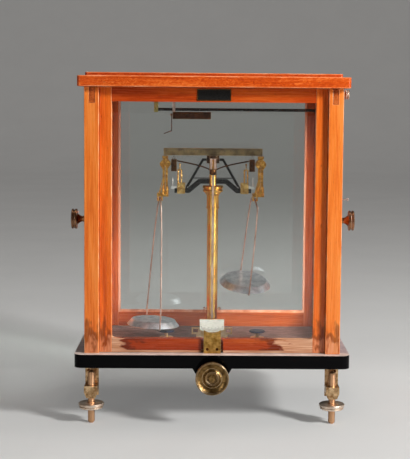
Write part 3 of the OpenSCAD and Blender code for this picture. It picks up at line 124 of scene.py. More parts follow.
def worn_polish(tree, where, grain, fibres, wear):
    """Where damp and hands have taken the polish off: first a dark stain with ragged flames, then pale
    dry wood. Gives the layers of colour, each with its share, and the share of bare wood."""
    axis, sound, bare, shift = wear
    along_rail = axis == 0
    split = add(tree, "ShaderNodeSeparateXYZ", {"Vector": where})
    moved = add(tree, "ShaderNodeMath", {0: split.outputs[axis], 1: shift})
    reach = add(tree, "ShaderNodeMath", {0: moved.outputs[0]}, operation="ABSOLUTE")
    flames = drawn_out(tree, where, grain, 9, 24, 2, 0.3)
    jitter = add(tree, "ShaderNodeMath", {0: flames, 1: 0.1, 2: -0.05}, operation="MULTIPLY_ADD")
    edge = add(tree, "ShaderNodeMath", {0: reach.outputs[0], 1: jitter.outputs[0]})
    gone = add(tree, "ShaderNodeMapRange", {
        "Value": edge.outputs[0], "From Min": sound, "From Max": bare})

    # Nothing is worn higher than the foot of the case
    low = add(tree, "ShaderNodeMapRange", {
        "Value": split.outputs[2], "From Min": DECK_Z + 90 * MM, "From Max": DECK_Z + 70 * MM})
    gone = add(tree, "ShaderNodeMath", {0: gone.outputs[0], 1: low.outputs[0]}, operation="MULTIPLY")
    stain = add(tree, "ShaderNodeValToRGB", {"Fac": gone.outputs[0]}, stops=[
        (0.0, "#000000"), (0.3, "#C4C4C4"), (0.66, "#D0D0D0"), (0.95, "#3A3A3A")])
    dry = add(tree, "ShaderNodeValToRGB", {"Fac": fibres}, stops=[
        (0.34, "#AE7852"), (0.52, "#C89674"), (0.7, "#DDB899")])
    faded = add(tree, "ShaderNodeMapRange", {
        "Value": gone.outputs[0], "From Min": 0.62, "From Max": 0.95,
        "To Max": 0.9 if along_rail else 0.5}).outputs[0]
    layers = [(stain.outputs[0], colour("#3C1406"))]

    # A rail that lies near the plate is reddened by damp all along, and bare in a line at its foot
    if along_rail:
        damp = add(tree, "ShaderNodeMath", {0: low.outputs[0], 1: 0.42}, operation="MULTIPLY")
        layers.insert(0, (damp.outputs[0], colour("#701E06")))
        line_h, soft = 4 * MM, 0.3 * MM
        line = add(tree, "ShaderNodeMapRange", {
            "Value": split.outputs[2], "From Min": DECK_Z + line_h + soft,
            "From Max": DECK_Z + line_h - soft, "To Max": 0.8})
        faded = add(tree, "ShaderNodeMath", {0: faded, 1: line.outputs[0]},
                    operation="MAXIMUM").outputs[0]
    return layers + [(faded, dry.outputs[0])], faded


def mahogany(name, grain, shades, figure=0.0, wear=None):
    """French-polished mahogany: quiet bands and fibres drawn out along the grain, short open pores, a
    few old bruises and a clear gloss. shades run from dark to light. wear says where the polish is
    gone: the axis it runs along, the place where the wood is still sound, the place where it is bare,
    and how far across the case the pattern is shifted."""
    material, tree, surface, _ = new_material(name)
    where = add(tree, "ShaderNodeTexCoord").outputs["Object"]
    bands = drawn_out(tree, where, grain, 13, 210, 2, 0.4)
    fibres = drawn_out(tree, where, grain, 1.7, 46, 3)
    # Real pores are about 0.2 mm wide: they are drawn coarser, so that they show
    pores = drawn_out(tree, where, grain, 0.8, 11, 2)
    ripple = drawn_out(tree, where, grain, 3.4, 6.5, 2, 1.4)
    bruises = drawn_out(tree, where, grain, 5, 12, 1)
    mixed = add(tree, "ShaderNodeMix", {0: 0.3, 2: bands, 3: fibres})
    mixed = add(tree, "ShaderNodeMix", {0: figure, 2: mixed.outputs[0], 3: ripple})
    tone = add(tree, "ShaderNodeValToRGB", {"Fac": mixed.outputs[0]},
               stops=[(0.34, shades[0]), (0.5, shades[1]), (0.66, shades[2])])
    pore = add(tree, "ShaderNodeMapRange", {
        "Value": pores, "From Min": 0.58, "From Max": 0.76, "To Max": 0.26})
    bruise = add(tree, "ShaderNodeMapRange", {
        "Value": bruises, "From Min": 0.74, "From Max": 0.8, "To Max": 0.55})
    rough = add(tree, "ShaderNodeMapRange", {"Value": fibres, "To Min": 0.2, "To Max": 0.34}).outputs[0]
    layers = [(pore.outputs[0], colour("#7A2C10")), (bruise.outputs[0], colour("#5E240E"))]
    if wear:
        worn, bare = worn_polish(tree, where, grain, fibres, wear)
        layers += worn
        rough = add(tree, "ShaderNodeMix", {0: bare, 2: rough, 3: 0.62}).outputs[0]
    skin = tone.outputs[0]
    for share, over in layers:
        skin = add(tree, "ShaderNodeMix", {0: share, 6: skin, 7: over}, data_type="RGBA").outputs[2]

    bump = add(tree, "ShaderNodeBump", {"Height": pores, "Strength": 0.1, "Distance": 0.4 * MM})
    tree.links.new(skin, surface.inputs["Base Color"])
    tree.links.new(rough, surface.inputs["Roughness"])
    tree.links.new(bump.outputs[0], surface.inputs["Normal"])
    surface.inputs["Specular IOR Level"].default_value = 0.35
    surface.inputs["Coat Weight"].default_value = 0.12
    surface.inputs["Coat Roughness"].default_value = 0.12
    return material


def rubbed_and_highlit_edge(name, shades):
    """Arrises painted pale, patchy along their length: partly dry wood where handling has worn through the
    polish, partly a painted highlight along the edge.
    """
    material, tree, surface, _ = new_material(name)
    where = add(tree, "ShaderNodeTexCoord").outputs["Object"]
    rubs_and_glints = add(tree, "ShaderNodeTexNoise", {"Vector": where, "Scale": 1 / (24 * MM), "Detail": 3.0})
    tone = add(tree, "ShaderNodeValToRGB", {"Fac": rubs_and_glints.outputs[0]},
               stops=[(0.35, shades[0]), (0.52, shades[1]), (0.7, shades[2])])
    tree.links.new(tone.outputs[0], surface.inputs["Base Color"])
    surface.inputs["Roughness"].default_value = 0.4
    return material


def metal(name, shades, rough=(0.18, 0.34), patch=14.0, lines=None, wavy=0.0):
    """Worked metal, its tone cloudy where the lacquer or plating has aged. shades run from toned to
    bright, patch is the size of the clouds, and lines the axis that the polishing marks run along.
    wavy is how far a hand-filed face swells and dips, which breaks its reflections into glints."""
    material, tree, surface, _ = new_material(name)
    where = add(tree, "ShaderNodeTexCoord").outputs["Object"]
    clouds = add(tree, "ShaderNodeTexNoise", {
        "Vector": where, "Scale": 1 / (patch * MM), "Detail": 5.0, "Roughness": 0.62})
    tone = add(tree, "ShaderNodeValToRGB", {"Fac": clouds.outputs[0]},
               stops=[(0.36, shades[0]), (0.62, shades[1])])
    # Real polishing marks are finer: they are drawn coarser, so that they show
    mark_w, mark_l, swell_w = 0.35 * MM, 9 * MM, 9 * MM
    size = [1 / mark_w] * 3
    if lines:
        size["XYZ".index(lines)] = 1 / mark_l
    place = add(tree, "ShaderNodeMapping", {"Vector": where, "Scale": size})
    marks = add(tree, "ShaderNodeTexNoise", {"Vector": place.outputs[0], "Scale": 1.0, "Detail": 2.0})
    both = add(tree, "ShaderNodeMix", {0: 0.4, 2: clouds.outputs[0], 3: marks.outputs[0]})
    shine = add(tree, "ShaderNodeMapRange", {
        "Value": both.outputs[0], "From Min": 0.3, "From Max": 0.7, "To Min": rough[1], "To Max": rough[0]})
    bump = add(tree, "ShaderNodeBump", {
        "Height": marks.outputs[0], "Strength": 0.06, "Distance": 0.2 * MM})
    if wavy:
        swell = add(tree, "ShaderNodeTexNoise", {"Vector": where, "Scale": 1 / swell_w, "Detail": 1.0})
        bump = add(tree, "ShaderNodeBump", {
            "Height": swell.outputs[0], "Strength": wavy, "Distance": 2 * MM, "Normal": bump.outputs[0]})
    tree.links.new(tone.outputs[0], surface.inputs["Base Color"])
    tree.links.new(shine.outputs[0], surface.inputs["Roughness"])
    tree.links.new(bump.outputs[0], surface.inputs["Normal"])
    surface.inputs["Metallic"].default_value = 1.0
    return material


def foot_brass():
    """Brass of the levelling screws: the disc pale and worn by fingers, the screw toned coppery."""
    material = metal("fingered brass of the feet", ("#DCC2AA", "#FBECDC"), (0.3, 0.54), 12)
    tree = material.node_tree
    surface = tree.nodes["Principled BSDF"]
    bright = surface.inputs["Base Color"].links[0].from_socket
    where = add(tree, "ShaderNodeTexCoord").outputs["Object"]
    low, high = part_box("right_foot_screw")
    middle = (low + high) / 2
    screw_r, collar_r = 6.4 * MM, 7.4 * MM
    split = add(tree, "ShaderNodeSeparateXYZ", {"Vector": where})
    side = add(tree, "ShaderNodeMath", {0: split.outputs[0]}, operation="ABSOLUTE")
    out = add(tree, "ShaderNodeMath", {0: side.outputs[0], 1: middle.x}, operation="SUBTRACT")
    back = add(tree, "ShaderNodeMath", {0: split.outputs[1], 1: middle.y}, operation="SUBTRACT")
    flat = add(tree, "ShaderNodeCombineXYZ", {"X": out.outputs[0], "Y": back.outputs[0]})
    radius = add(tree, "ShaderNodeVectorMath", {0: flat.outputs[0]}, operation="LENGTH")
    on_disc = add(tree, "ShaderNodeMapRange", {
        "Value": radius.outputs[1], "From Min": screw_r, "From Max": collar_r})
    both = add(tree, "ShaderNodeMix", {
        0: on_disc.outputs[0], 6: colour("#D8A880"), 7: bright}, data_type="RGBA")
    tree.links.new(both.outputs[2], surface.inputs["Base Color"])
    return material


def lacquer(name, shades, rough=(0.16, 0.34), speck=3.0):
    """Opaque lacquer or enamel with a little dust in it: one dark tone, a soft gloss."""
    material, tree, surface, _ = new_material(name)
    where = add(tree, "ShaderNodeTexCoord").outputs["Object"]
    dust = add(tree, "ShaderNodeTexNoise", {
        "Vector": where, "Scale": 1 / (speck * MM), "Detail": 4.0, "Roughness": 0.7})
    tone = add(tree, "ShaderNodeValToRGB", {"Fac": dust.outputs[0]},
               stops=[(0.42, shades[0]), (0.78, shades[1])])
    shine = add(tree, "ShaderNodeMapRange", {
        "Value": dust.outputs[0], "From Min": 0.3, "From Max": 0.7, "To Min": rough[0], "To Max": rough[1]})
    tree.links.new(tone.outputs[0], surface.inputs["Base Color"])
    tree.links.new(shine.outputs[0], surface.inputs["Roughness"])
    return material


def black_slab():
    """The polished black plate: near black where it stands upright. Its top has a mottled mauve grey film,
    partly dust and partly a painted reflection of the mahogany in the polish, paler on the margins outside
    the case, and its front margin is nearly white, partly worn by hands and partly a painted glare of the
    lamps."""
    material, tree, surface, _ = new_material("black polished slab")
    where = add(tree, "ShaderNodeTexCoord").outputs["Object"]
    place = add(tree, "ShaderNodeSeparateXYZ", {"Vector": where})
    facing = add(tree, "ShaderNodeSeparateXYZ", {
        "Vector": add(tree, "ShaderNodeNewGeometry").outputs["Normal"]})
    # Smears of the duster and of the painted reflection, about 20 mm long and 9 mm deep
    smears = add(tree, "ShaderNodeMapping", {"Vector": where, "Scale": (50.0, 110.0, 60.0)})
    dust_and_reflection = add(tree, "ShaderNodeTexNoise", {
        "Vector": smears.outputs[0], "Scale": 1.0, "Detail": 6.0, "Roughness": 0.68})
    spots = add(tree, "ShaderNodeTexNoise", {"Vector": where, "Scale": 1 / (5 * MM), "Detail": 3.0})
    # The deck inside the case: dust, and a painted reflection of the mahogany in the black polish
    film = add(tree, "ShaderNodeValToRGB", {"Fac": dust_and_reflection.outputs[0]}, stops=[
        (0.36, "#443838"), (0.5, "#665856"), (0.66, "#93847E")])
    margin = add(tree, "ShaderNodeValToRGB", {"Fac": dust_and_reflection.outputs[0]}, stops=[
        (0.34, "#8E8488"), (0.5, "#AFA3A4"), (0.66, "#CFC3BF")])
    side = add(tree, "ShaderNodeMath", {0: place.outputs[0]}, operation="ABSOLUTE")
    outside = add(tree, "ShaderNodeMapRange", {
        "Value": side.outputs[0], "From Min": CASE_SIDE - 6 * MM, "From Max": CASE_SIDE - 1 * MM})
    front = add(tree, "ShaderNodeMapRange", {
        "Value": place.outputs[1], "From Min": CASE_FRONT + 17 * MM, "From Max": CASE_FRONT + 1 * MM})
    top = add(tree, "ShaderNodeMix", {
        0: outside.outputs[0], 6: film.outputs[0], 7: margin.outputs[0]}, data_type="RGBA")
    speck = add(tree, "ShaderNodeMapRange", {
        "Value": spots.outputs[0], "From Min": 0.62, "From Max": 0.7, "To Max": 0.5})
    top = add(tree, "ShaderNodeMix", {
        0: speck.outputs[0], 6: top.outputs[2], 7: colour("#3A2C30")}, data_type="RGBA")
    # The front margin nearly white: partly worn by hands, partly a painted glare of the lamps on the polish
    rub_and_glare = add(tree, "ShaderNodeValToRGB", {"Fac": dust_and_reflection.outputs[0]}, stops=[
        (0.36, "#C8B4AA"), (0.5, "#DCCABF"), (0.66, "#ECDDD3")])
    top = add(tree, "ShaderNodeMix", {
        0: front.outputs[0], 6: top.outputs[2], 7: rub_and_glare.outputs[0]}, data_type="RGBA")
    upward = add(tree, "ShaderNodeMapRange", {
        "Value": facing.outputs[2], "From Min": 0.3, "From Max": 0.8})
    skin = add(tree, "ShaderNodeMix", {
        0: upward.outputs[0], 6: colour("#030304"), 7: top.outputs[2]}, data_type="RGBA")
    shine = add(tree, "ShaderNodeMix", {0: upward.outputs[0], 2: 0.12, 3: 0.3})
    tree.links.new(skin.outputs[2], surface.inputs["Base Color"])
    tree.links.new(shine.outputs[0], surface.inputs["Roughness"])
    surface.inputs["Specular IOR Level"].default_value = 0.08
    return material


def window_glass(name, tint):
    """Old drawn sheet glass: nearly clear, faintly wavy. It lets the lamps' light through, so the
    works inside are lit as they are in a real case."""
    material, tree, surface, output = new_material(name)
    where = add(tree, "ShaderNodeTexCoord").outputs["Object"]
    # The sheet swells about every 70 mm
    wave = add(tree, "ShaderNodeTexNoise", {"Vector": where, "Scale": 14.0, "Detail": 1.0})
    bump = add(tree, "ShaderNodeBump", {"Height": wave.outputs[0], "Strength": 0.05, "Distance": 1 * MM})
    tree.links.new(bump.outputs[0], surface.inputs["Normal"])
    surface.inputs["Base Color"].default_value = colour(tint)
    surface.inputs["Roughness"].default_value = 0.0
    surface.inputs["IOR"].default_value = 1.5
    surface.inputs["Specular IOR Level"].default_value = 0.16
    surface.inputs["Transmission Weight"].default_value = 1.0
    lamp_ray = add(tree, "ShaderNodeLightPath").outputs["Is Shadow Ray"]
    clear = add(tree, "ShaderNodeBsdfTransparent", {"Color": colour(tint)})
    both = add(tree, "ShaderNodeMixShader", {
        0: lamp_ray, 1: surface.outputs[0], 2: clear.outputs[0]})
    tree.links.new(both.outputs[0], output.inputs["Surface"])
    return material


def banded_agate():
    """Polished agate, banded red and grey, glassy."""
    material, tree, surface, _ = new_material("polished agate")
    where = add(tree, "ShaderNodeTexCoord").outputs["Object"]
    # A band of the stone is about 1 mm wide
    bands = add(tree, "ShaderNodeTexWave", {
        "Vector": where, "Scale": 260.0, "Distortion": 6.0, "Detail": 2.0})
    tone = add(tree, "ShaderNodeValToRGB", {"Fac": bands.outputs[0]}, stops=[
        (0.2, "#7E3A2C"), (0.6, "#B5695A"), (0.9, "#D9C2B8")])
    tree.links.new(tone.outputs[0], surface.inputs["Base Color"])
    surface.inputs["Roughness"].default_value = 0.08
    return material


def aged_ivory():
    """Ivory, greyed by age and lightly grained, with the soft gloss that shows it is not paper."""
    material, tree, surface, _ = new_material("aged ivory")
    where = add(tree, "ShaderNodeTexCoord").outputs["Object"]
    # Lines about 8 mm long and 1 mm high
    grain = add(tree, "ShaderNodeMapping", {"Vector": where, "Scale": (120.0, 400.0, 900.0)})
    lines = add(tree, "ShaderNodeTexNoise", {"Vector": grain.outputs[0], "Scale": 1.0, "Detail": 4.0})
    tone = add(tree, "ShaderNodeValToRGB", {"Fac": lines.outputs[0]}, stops=[
        (0.3, "#B9B7AA"), (0.5, "#D3D2C6"), (0.75, "#E6E4DA")])
    tree.links.new(tone.outputs[0], surface.inputs["Base Color"])
    surface.inputs["Roughness"].default_value = 0.38
    surface.inputs["Subsurface Weight"].default_value = 0.1
    surface.inputs["Subsurface Scale"].default_value = 2 * MM
    return material


# The tones of the wood, each from dark to light. The rails are redder than the faded posts, and darker by a
# painted shadow of the top's overhang, laid on both sash rails; the glazing beads are the palest, partly a
# painted highlight
POST_TONES = ("#CE5A16", "#E6782A", "#F08E40")
SASH_TONES = ("#C05012", "#DE681C", "#E87E30")
# Painted shadow: these rail tones are darkened for the shadow of the top board
RAIL_TONES_WITH_SHADE = ("#8C2A04", "#B4420C", "#D2601C")
REAR_TONES = ("#94390C", "#B84E14", "#CC662A")
SIDE_TONES = ("#8A3A16", "#B0531F", "#C86C34")
TOP_TONES = ("#A63204", "#CC4E0E", "#EA7830")
PANEL_TONES = ("#982A06", "#BE4210", "#DA6428")
BEAD_TONES = ("#D88058", "#EFA07C", "#F9C0A4")

# Damp has climbed the upright pieces from the plate, and spread along the rail from its two ends
FOOT_WEAR = (2, DECK_Z + 50 * MM, DECK_Z + 8 * MM, 0.0)
RAIL_WEAR = (0, 98 * MM, 140 * MM, 20 * MM)

# The frame's woods are straight grained and glossy, from orange posts to red brown rails
post_wood = mahogany("mahogany of the posts", "Z", POST_TONES, 0.05, FOOT_WEAR)
stile_wood = mahogany("mahogany of the sash stiles", "Z", SASH_TONES, 0.05, FOOT_WEAR)
sash_rail_wood = mahogany("mahogany of the sash rails", "X", RAIL_TONES_WITH_SHADE, 0.1, RAIL_WEAR)
rear_stile_wood = mahogany("mahogany of the rear stiles", "Z", REAR_TONES, 0.05)
rear_rail_wood = mahogany("mahogany of the rear rails", "X", REAR_TONES, 0.1)
bead_wood = mahogany("mahogany of the glazing beads", "Z", BEAD_TONES)
side_rail_wood = mahogany("mahogany of the side rails", "Y", SIDE_TONES, 0.1)
door_wood = mahogany("mahogany of the doors", "Z", SASH_TONES, 0.05, FOOT_WEAR)
door_rail_wood = mahogany("mahogany of the door rails", "Y", SASH_TONES, 0.1)

# The lid's wood has a lively ripple that catches the light from above
top_wood = mahogany("figured mahogany of the top", "X", TOP_TONES, 0.5)
panel_wood = mahogany("figured mahogany of the panel", "X", PANEL_TONES, 0.5)

# Edges painted pale draw a light line round the wood and the plate: partly wear from hands, partly a
# painted highlight
rubbed_and_highlit = rubbed_and_highlit_edge("rubbed mahogany edge", ("#DA6C28", "#EC9050", "#F6B88A"))
top_rubbed_and_highlit = rubbed_and_highlit_edge("rubbed edge of the top", ("#DC6A2C", "#EE8448", "#F6A676"))
slab_edge_wear_and_highlight = lacquer("white rubbed edge of the slab", ("#B9A9A2", "#F0E6E0"), (0.3, 0.5), 18)
slab = black_slab()

# Clear panes: the rear one is a little greyer, which sets the works off from the backdrop
front_pane = window_glass("drawn sheet glass", "#F8FAF9")
rear_pane = window_glass("drawn sheet glass of the back", "#EFF2F0")

# Brass under sound lacquer: yellow, with sharp lines of light down the column and glints elsewhere
column_brass = metal("lacquered brass of the column", ("#E0A040", "#F8CE70"), (0.15, 0.24), 30, "Z")
# On the stirrups and beam supports, the small bright and dark clouds of colour are partly painted glints
# and painted shade
gold_brass = metal("gilded brass of the stirrups", ("#C27C2E", "#FFC766"), (0.2, 0.34), 4, wavy=0.45)
bright_brass = metal("polished brass", ("#C48E46", "#FFD88C"), (0.2, 0.34), 6, wavy=0.4)

# Brass whose lacquer has gone: grimed where it is plain, pale and rosy where fingers rub it; used on edges,
# these pale tones are partly a painted highlight
# The keeper's darker grimed face is partly a painted shade of its recess
keeper_grime_and_shade = metal("grimed brass of the sash keeper", ("#9A6E30", "#DCAE60"), (0.26, 0.42), 8)
cream_brass = metal("bleached brass", ("#E2C48C", "#FFECC4"), (0.28, 0.46), 7)
pale_brass = metal("worn pale brass", ("#A98A62", "#E6CBA2"), (0.22, 0.42), 9)
pink_brass = metal("worn rosy brass", ("#CDA894", "#F8E4DA"), (0.24, 0.42), 9)
green_brass = metal("thin yellow lacquered brass", ("#A89A50", "#E8DC8C"), (0.22, 0.4), 9)
plate_brass = metal("grimy brass of the foot brackets", ("#9C7248", "#F2CFA0"), (0.26, 0.42), 7)

# Brass and bronze that have toned dark, their paler edge finishes partly a painted highlight
toned_brass = metal("toned brass", ("#513B20", "#947548"), (0.2, 0.38), 8)
knob_bronze = metal("dark bronze of the knobs", ("#5E3A1E", "#AE7E58"), (0.2, 0.36), 9)
tan_brass = metal("dark coppery brass", ("#3E1E0A", "#74421C"), (0.24, 0.4), 7)
bar_bronze = metal("oxidised bronze of the beam", ("#5E4E36", "#9C8862"), (0.36, 0.5), 18, "X")
block_bronze = metal("dark oxidised bronze", ("#2A1810", "#6E4626"), (0.26, 0.44), 6)

# Wires, steels and plating: thin bright lines, and grey discs with cloudy highlights
copper_wire = metal("coppery lacquered wire", ("#BE9A8A", "#F2D6C8"), (0.3, 0.46), 20, "Z")
bright_steel = metal("bright steel", ("#B9BAB6", "#F2F0EA"), (0.12, 0.26), 4)
rosy_steel = metal("steel with a rosy film", ("#D2B4A8", "#F4E0D8"), (0.18, 0.32), 6)
nickel = metal("clouded nickel plate", ("#C0C8D0", "#F6FAFF"), (0.26, 0.44), 11, wavy=0.2)
stop_steel = metal("bare white steel", ("#E4E6E2", "#FBFBF8"), (0.3, 0.44), 4)
feet_brass = foot_brass()

# Lacquers and wax: the darkest things in the case, with a soft gloss
pad_blue = lacquer("blue black lacquer", ("#161E3A", "#2C3A5E"), (0.1, 0.24))
rod_black = lacquer("black lacquer", ("#0B0C0D", "#1C2020"))
plate_black = lacquer("black enamel of the plate", ("#0A0A0A", "#1E1C1A"), (0.2, 0.4), 1.2)
mark_black = lacquer("black wax in the marks", ("#15120E", "#241E18"), (0.5, 0.7), 1.0)

agate = banded_agate()
ivory = aged_ivory()


# The CAD pieces with their edges eased

def dress(node, material, ease=0.0, edge_wear_and_highlight=None):
    """A merged copy of a CAD node in its place, with its sharp edges rounded by ease millimetres. The
    rounded edges may have a paler finish of their own: partly wear, partly a painted highlight along them."""
    source = nodes[node]
    mesh = source.data.copy()
    work = bmesh.new()
    work.from_mesh(mesh)
    bmesh.ops.remove_doubles(work, verts=work.verts, dist=0.002 * MM)
    bmesh.ops.dissolve_limit(work, angle_limit=math.radians(0.5), verts=work.verts, edges=work.edges)
    for face in work.faces:
        face.smooth = True
    for edge in work.edges:
        edge.smooth = len(edge.link_faces) == 2 and edge.calc_face_angle(0) < SHARP
    work.to_mesh(mesh)
    work.free()
    mesh.materials.clear()
    mesh.materials.append(material)
    if edge_wear_and_highlight:
        mesh.materials.append(edge_wear_and_highlight)
    piece = bpy.data.objects.new(node + "_piece", mesh)
    bpy.context.scene.collection.objects.link(piece)
    if ease:
        rounding = piece.modifiers.new("eased edges", "BEVEL")
        rounding.width = ease * MM
        rounding.segments = 2
        rounding.limit_method = "ANGLE"
        rounding.angle_limit = SHARP
        rounding.harden_normals = True
        rounding.use_clamp_overlap = True
        if edge_wear_and_highlight:
            rounding.material = 1
    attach(piece, source["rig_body"])
    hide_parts(node)
    return piece


# Each node's finish, the ease of its edges in millimetres, and the finish of those edges, whose paler tones
# are partly wear and partly a painted highlight
FINISHES = {
    "base_plate": (slab, 1.6, slab_edge_wear_and_highlight), "posts": (post_wood, 1.1, rubbed_and_highlit),
    "side_rails": (side_rail_wood, 0.6), "rear_stiles": (rear_stile_wood, 0.6),
    "rear_rails": (rear_rail_wood, 0.7, rubbed_and_highlit), "rear_beads": (bead_wood, 0.5),
    "rear_glass": (rear_pane,), "top_board": (top_wood, 1.3, top_rubbed_and_highlit),
    "top_panel": (panel_wood, 1.2, top_rubbed_and_highlit), "foot_brackets": (plate_brass, 0.6, pale_brass),
    "rear_foot": (toned_brass, 0.3), "column": (column_brass, 0.4, cream_brass),
    "brass_fittings": (cream_brass, 0.25), "steel_pins": (rosy_steel,), "agate_planes": (agate, 0.15),
    # The index stand's pale bleached brass is partly painted light: its legs stand in shade behind the
    # keeper
    "index_stand": (cream_brass, 0.3), "ivory_scale": (ivory, 0.3),
    "sash_keeper": (keeper_grime_and_shade, 0.5, cream_brass), "post_hinges": (toned_brass, 0.15),
    "rider_rail": (rod_black,), "rider_brackets": (green_brass, 0.5),
    "sash_stiles": (stile_wood, 1.0, rubbed_and_highlit), "sash_rails": (sash_rail_wood, 0.9, rubbed_and_highlit),
    "sash_glass": (front_pane,), "nameplate": (plate_black,), "nameplate_rim": (toned_brass, 0.2),
    "left_door_stiles": (door_wood, 0.8, rubbed_and_highlit), "left_door_rails": (door_rail_wood, 0.6, rubbed_and_highlit),
    "left_door_glass": (front_pane,), "left_door_fittings": (knob_bronze, 0.7, pink_brass),
    "right_door_stiles": (door_wood, 0.8, rubbed_and_highlit), "right_door_rails": (door_rail_wood, 0.6, rubbed_and_highlit),
    "right_door_glass": (front_pane,), "right_door_fittings": (knob_bronze, 0.7, pink_brass),
    "arrest_knob": (toned_brass, 0.35, pale_brass), "knob_shaft": (toned_brass, 0.2),
    "lifting_frame": (pale_brass, 0.3), "rest_pads": (pad_blue, 0.4), "arrest_bar": (rod_black, 0.6),
    "arrest_struts": (rod_black, 0.3), "beam_supports": (bright_brass, 0.4, cream_brass),
    "stirrup_stops": (stop_steel, 0.3), "rider_bar": (bar_bronze, 0.4, pale_brass),
    "beam_truss": (block_bronze, 0.3), "beam_blocks": (block_bronze, 0.6, pale_brass),
    "beam_knives": (bright_steel, 0.15), "pointer": (copper_wire, 0.15),
    "pointer_bob": (block_bronze, 0.2), "left_stirrup": (gold_brass, 0.4, cream_brass),
    "right_stirrup": (gold_brass, 0.4, cream_brass), "left_bail": (copper_wire,),
    "right_bail": (copper_wire,), "left_pan": (nickel, 0.25), "right_pan": (nickel, 0.25),
    "rider_carriage": (pink_brass, 0.5), "carriage_bar": (tan_brass, 0.6, pale_brass),
    "control_rod": (pale_brass, 0.5, pink_brass), "rider_hook": (tan_brass,),
    "left_foot_screw": (feet_brass, 0.25), "right_foot_screw": (feet_brass, 0.25),
}
pieces = {node: dress(node, *finish) for node, finish in FINISHES.items()}


# Repeated small work, grown by Geometry Nodes

def new_growth(name, inputs):
    """An empty Geometry Nodes tree with named inputs, and the sockets that their values come from."""
    tree = bpy.data.node_groups.new(name, "GeometryNodeTree")
    tree.interface.new_socket("Geometry", in_out="INPUT", socket_type="NodeSocketGeometry")
    for label, kind in inputs.items():
        tree.interface.new_socket(label, in_out="INPUT", socket_type="NodeSocket" + kind)
    tree.interface.new_socket("Geometry", in_out="OUTPUT", socket_type="NodeSocketGeometry")
    return tree, add(tree, "NodeGroupInput").outputs


def finish_growth(tree, given, instances):
    """Ends a tree: its instances made real, and given the finish."""
    real = add(tree, "GeometryNodeRealizeInstances", {"Geometry": instances})
    done = add(tree, "GeometryNodeSetMaterial", {"Geometry": real.outputs[0], "Material": given["Finish"]})
    add(tree, "NodeGroupOutput", {0: done.outputs[0]})
    return tree


def grow(name, tree, places, values, body):
    """Runs a tree over a few points and keeps the result as a plain mesh that rides on a body."""
    mesh = bpy.data.meshes.new(name + "_points")
    mesh.from_pydata(places, [], [])
    seed = bpy.data.objects.new(name + "_seed", mesh)
    bpy.context.scene.collection.objects.link(seed)
    modifier = seed.modifiers.new("growth", "NODES")
    modifier.node_group = tree
    for item in tree.interface.items_tree:
        if item.in_out == "INPUT" and item.name in values:
            modifier[item.identifier] = values[item.name]
    bpy.context.view_layer.update()
    grown = seed.evaluated_get(bpy.context.evaluated_depsgraph_get())
    result = bpy.data.meshes.new_from_object(grown)
    seed.modifiers.remove(modifier)
    bpy.data.objects.remove(seed)
    piece = bpy.data.objects.new(name, result)
    bpy.context.scene.collection.objects.link(piece)
    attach(piece, body)


def slotted_heads():
    """A turned screw head with a filed slot at each point, facing the front, each at its own turn."""
    tree, given = new_growth("slotted screw heads", {
        "Head": "Float", "Height": "Float", "Slot": "Float", "Seed": "Int", "Finish": "Material"})
    radius = add(tree, "ShaderNodeMath", {0: given["Head"], 1: 0.5}, operation="MULTIPLY")
    crown = add(tree, "ShaderNodeMath", {0: given["Head"], 1: 0.42}, operation="MULTIPLY")
    head = add(tree, "GeometryNodeMeshCone", {
        "Vertices": 28, "Radius Top": crown.outputs[0], "Radius Bottom": radius.outputs[0],
        "Depth": given["Height"]})
    cut_size = add(tree, "ShaderNodeCombineXYZ", {
        "X": given["Head"], "Y": given["Slot"], "Z": given["Height"]})
    cutter = add(tree, "GeometryNodeMeshCube", {"Size": cut_size.outputs[0]})
    lift = add(tree, "ShaderNodeCombineXYZ", {"Z": given["Height"]})
    cutter = add(tree, "GeometryNodeTransform", {
        "Geometry": cutter.outputs[0], "Translation": lift.outputs[0], "Scale": (1.1, 1.0, 1.0)})
    slotted = add(tree, "GeometryNodeMeshBoolean", {0: head.outputs[0], 1: cutter.outputs[0]})
    heads = add(tree, "GeometryNodeInstanceOnPoints", {
        "Points": given["Geometry"], "Instance": slotted.outputs[0],
        "Rotation": (math.radians(90), 0.0, 0.0)})
    turn = add(tree, "FunctionNodeRandomValue", {"Max": math.pi, "Seed": given["Seed"]})
    turned = add(tree, "ShaderNodeCombineXYZ", {"Z": turn.outputs[1]})
    loose = add(tree, "GeometryNodeRotateInstances", {
        "Instances": heads.outputs[0], "Rotation": turned.outputs[0]})
    return finish_growth(tree, given, loose.outputs[0])


def milled_edge():
    """Fine ridges round a rim, on a circle about each point. Tip is how far the rim's axis leans back:
    none where it stands up, a right angle where it runs from front to back."""
    tree, given = new_growth("milled edge", {
        "Ridges": "Int", "Radius": "Float", "Ridge": "Float", "Length": "Float", "Tip": "Float",
        "Finish": "Material"})
    ring = add(tree, "GeometryNodeMeshCircle", {"Vertices": given["Ridges"], "Radius": given["Radius"]})
    ridge = add(tree, "GeometryNodeMeshCylinder", {
        "Vertices": 6, "Radius": given["Ridge"], "Depth": given["Length"]})
    ridges = add(tree, "GeometryNodeInstanceOnPoints", {
        "Points": ring.outputs[0], "Instance": ridge.outputs[0]})
    tipped = add(tree, "ShaderNodeCombineXYZ", {"X": given["Tip"]})
    rims = add(tree, "GeometryNodeInstanceOnPoints", {
        "Points": given["Geometry"], "Instance": ridges.outputs[0], "Rotation": tipped.outputs[0]})
    return finish_growth(tree, given, rims.outputs[0])


